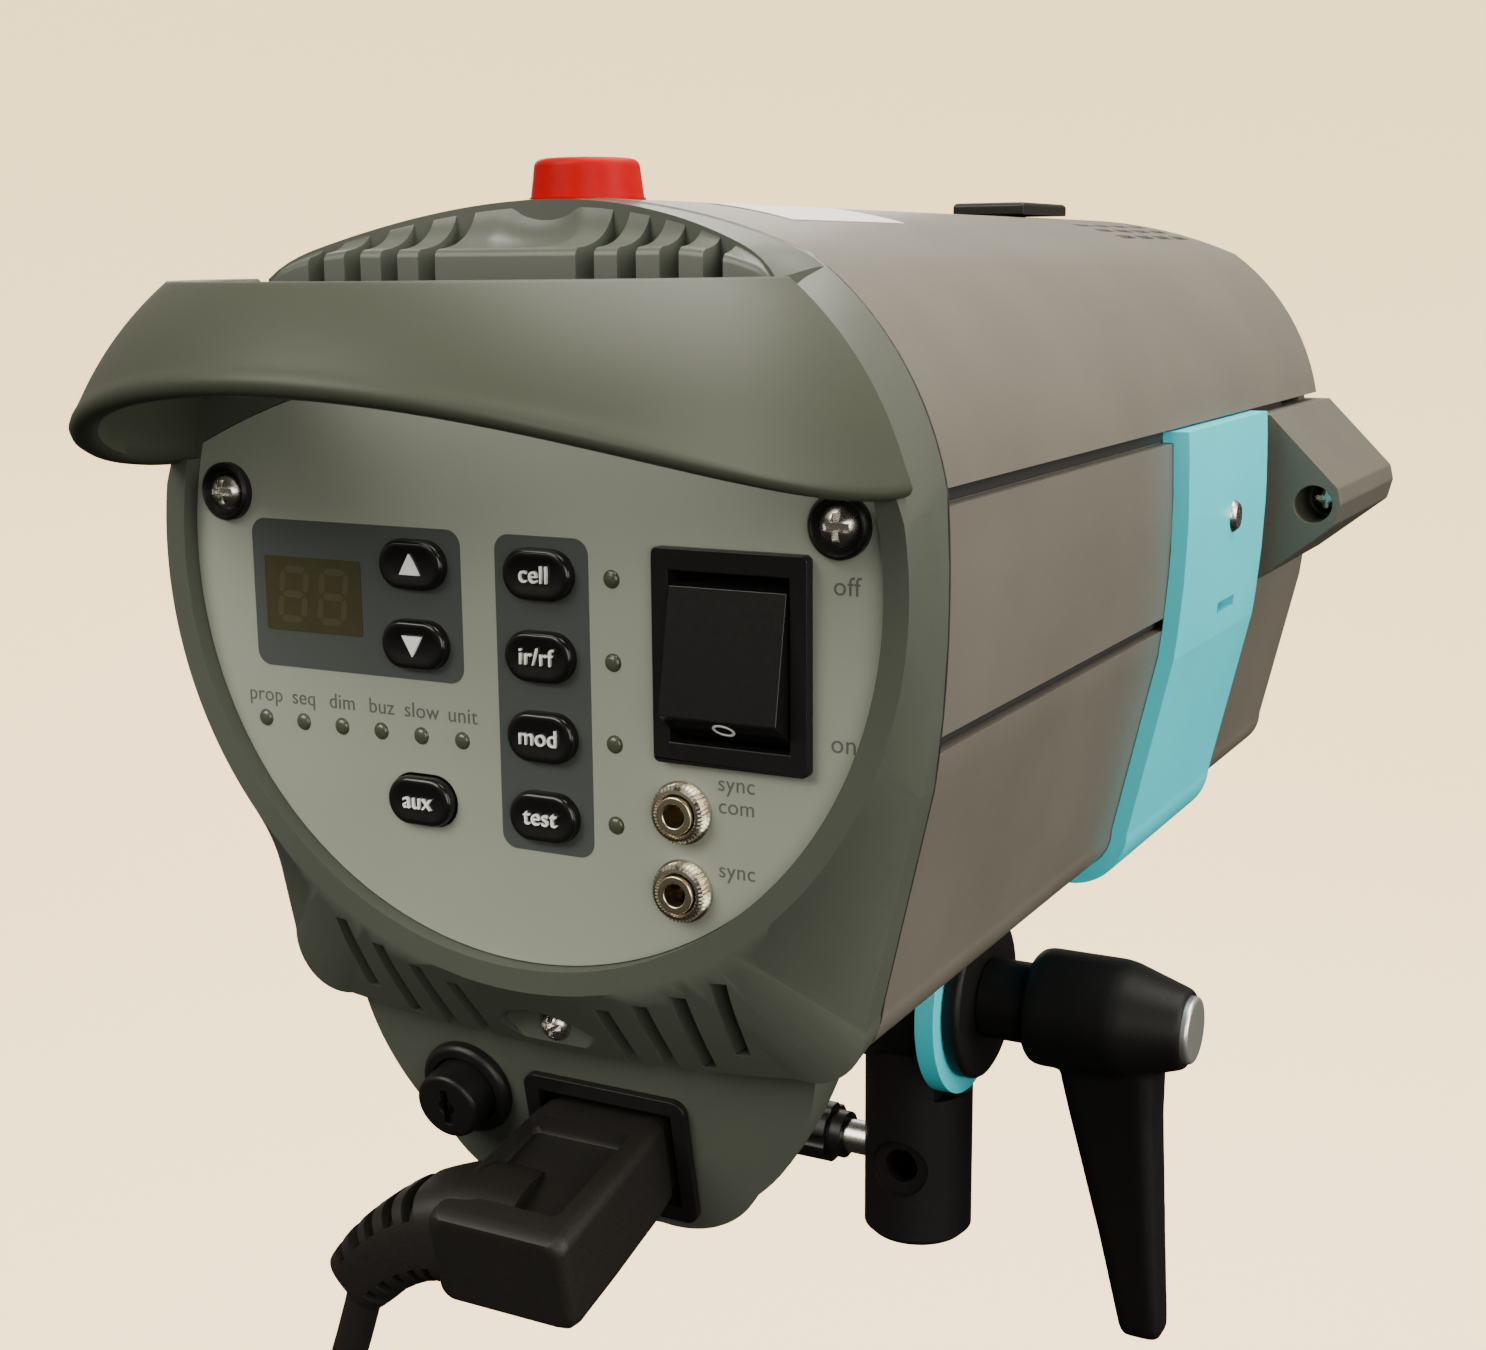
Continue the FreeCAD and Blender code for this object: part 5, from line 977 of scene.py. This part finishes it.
print("lamps", len(lamp_rows_at))

# %% [markdown]
# The mains switch carries a moulded ring on its lower facet, which means off. The two sync sockets
# have nickel nuts with a milled edge and a crown, because they are done up by hand.

# %% Switch mark
SWITCH_X = 38.25
facet_at = Vector((SWITCH_X, -166.5, 159.12))
facet_out = Vector((0, -0.61, -0.79))
facet_up = Vector((0, -0.79, 0.61))
mark_rows = []
for k in range(48):
    a = 2 * math.pi * k / 48
    ray = Vector((math.cos(a), 0, 0)) + facet_up * math.sin(a)
    shape = ((1.75, -0.05), (1.75, 0.09), (1.35, 0.09), (1.35, -0.05))
    mark_rows.append([facet_at + ray * r + facet_out * h for r, h in shape])
mark_rows.append(mark_rows[0])
points, faces = skin(mark_rows, ring=True)
piece("switch_mark", points, faces, mark_white, "power_rocker", 30, slot="panel_film")

# %% Milled socket nuts
JACK_X = 29.4
MILLED_POINTS = 84
nut_points, nut_faces = [], []
for z in (DATUM - 15.9, DATUM - 28.1):
    rows = []
    profile = ((0.02, 4.9, 0), (0.7, 4.9, 0), (0.75, 4.35, 0.16), (2.3, 4.35, 0.16), (2.7, 3.95, 0),
               (2.75, 3.5, 0.10),
               (2.35, 3.15, 0), (0.4, 3.05, 0))
    for out, radius, tooth in profile:
        row = []
        for k in range(MILLED_POINTS):
            a = 2 * math.pi * k / MILLED_POINTS
            reach = radius + (tooth if k % 2 else -tooth)
            row.append(Vector((JACK_X + reach * math.cos(a), FILM_Y - out, z + reach * math.sin(a))))
        rows.append(row)
    points, faces = skin(rows, ring=True)
    add_skin(nut_points, nut_faces, points, faces)
piece("socket_nuts", nut_points, nut_faces, nickel_plate, "lamp_head", 25, ["jack_nuts"], "nickel")

# %% [markdown]
# A paper label lies on the crowned roof. It follows the roof's own curve, so that it neither floats nor
# sinks in, and it is left blank.

# %% Blank label on the roof
LABEL_X0, LABEL_W = 12, 15
LABEL_Y0, LABEL_Y1 = -121, -76
LABEL_T = 0.12
rows = []
for k in range(9):
    x = LABEL_X0 + LABEL_W * k / 8
    z = ROOF_Z - roof_fall(x) + 0.05
    rows.append([Vector(p) for p in ((x, LABEL_Y0, z), (x, LABEL_Y1, z), (x, LABEL_Y1, z + LABEL_T),
                                     (x, LABEL_Y0, z + LABEL_T))])
points, faces = skin(rows, ring=True, caps=True)
piece("roof_label", points, faces, label_paper, "lamp_head", 30, slot="panel_film")
print("label and nuts done")

# %% [markdown]
# Between the shells run two open grooves down each side, and a fine shadow gap rings the joint between
# the rear cap and the body. On the real head both look dark because they lie in shade. Black lining strips
# behind the grooves are painted shade for that, and a fine black bead, laid where rays find the skin, is a
# painted shadow that marks the joint.

# %% Groove linings and the joint bead, both painted shade
for side, hand in ((1, "right"), (-1, "left")):
    for place, x, low_z, high_z in (("upper", 62.2, 190.9, 193.2), ("lower", 61.5, 154.0, 156.2)):
        section = ((x, low_z), (x + 0.25, low_z + 0.2), (x + 0.25, high_z - 0.2), (x, high_z),
                   (x - 0.2, (low_z + high_z) / 2))
        rows = [[Vector((side * px, y, pz)) for px, pz in section] for y in (-145.8, -100, -50, 0, 40, 66)]
        points, faces = skin(rows, ring=True, caps=True)
        lining = f"{place}_groove_shade_lining_{hand}"
        piece(lining, points, faces, painted_shade_black, "lamp_head", 30, slot="black_plastic")
BEAD_Y = -146.15
BODY_MIDDLE_Z = 171
NEAREST_SKIN = 50
BEAD_SECTION = ((-0.5, -0.26), (0.06, -0.2), (0.06, 0.2), (-0.5, 0.26))
bead_rows = []
for k in range(180):
    a = 2 * math.pi * k / 180
    ray = Vector((math.cos(a), 0, math.sin(a)))
    start = Vector((0, BEAD_Y - 0.35, BODY_MIDDLE_Z)) + ray * 150
    hit = cap_tree.ray_cast(start * MM, -ray)[0]
    if hit is None or (hit / MM - Vector((0, BEAD_Y, BODY_MIDDLE_Z))).length < NEAREST_SKIN:
        continue
    edge = Vector((hit.x / MM, BEAD_Y, hit.z / MM))
    bead_rows.append([edge + ray * out + Vector((0, dy, 0)) for out, dy in BEAD_SECTION])
bead_rows.append(bead_rows[0])
points, faces = skin(bead_rows, ring=True)
piece("joint_shadow_bead", points, faces, painted_shade_black, "lamp_head", 30, slot="black_plastic")
print("bead", len(bead_rows), "sections")

# %% [markdown]
# No moulded, cast or turned part has a knife edge, and the small round that is there is what catches
# the light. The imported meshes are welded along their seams, their flat triangles are dissolved into
# whole faces, and then every sharp edge gets a real bevel of the size that its maker would give it.

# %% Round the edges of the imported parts
EDGE = {
    0.7: ["stand_socket", "pressure_disc", "front_frame", "tilt_lug"],
    0.5: ["chin_housing", "cradle_strap", "mains_plug", "switch_frame"],
    0.35: ["rear_housing", "control_panel", "rocker", "mains_inlet", "fuse_cap", "fuse_holder", "lock_knob",
           "top_cover", "side_panel_left", "side_panel_right", "bottom_tray", "reflector_release"],
    0.2: ["cup_washers", "bayonet_ring", "clamp_bolt", "lever_cap", "jack_sockets", "lock_screw"],
    0.12: ["panel_screws", "cradle_screws", "ear_screws", "plug_pins"],
}
for width, names in EDGE.items():
    for name in names:
        made = nodes[name]
        weld = made.modifiers.new("weld", "WELD")
        weld.merge_threshold = 0.002 * MM
        whole = made.modifiers.new("whole_faces", "DECIMATE")
        whole.decimate_type = "DISSOLVE"
        whole.angle_limit = math.radians(1.5)
        soften(made, width, 2, 38)
        even = made.modifiers.new("even_shading", "WEIGHTED_NORMAL")
        even.keep_sharp = False
        made.data.shade_smooth()
print("rounded", sum(len(names) for names in EDGE.values()))

low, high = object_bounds()
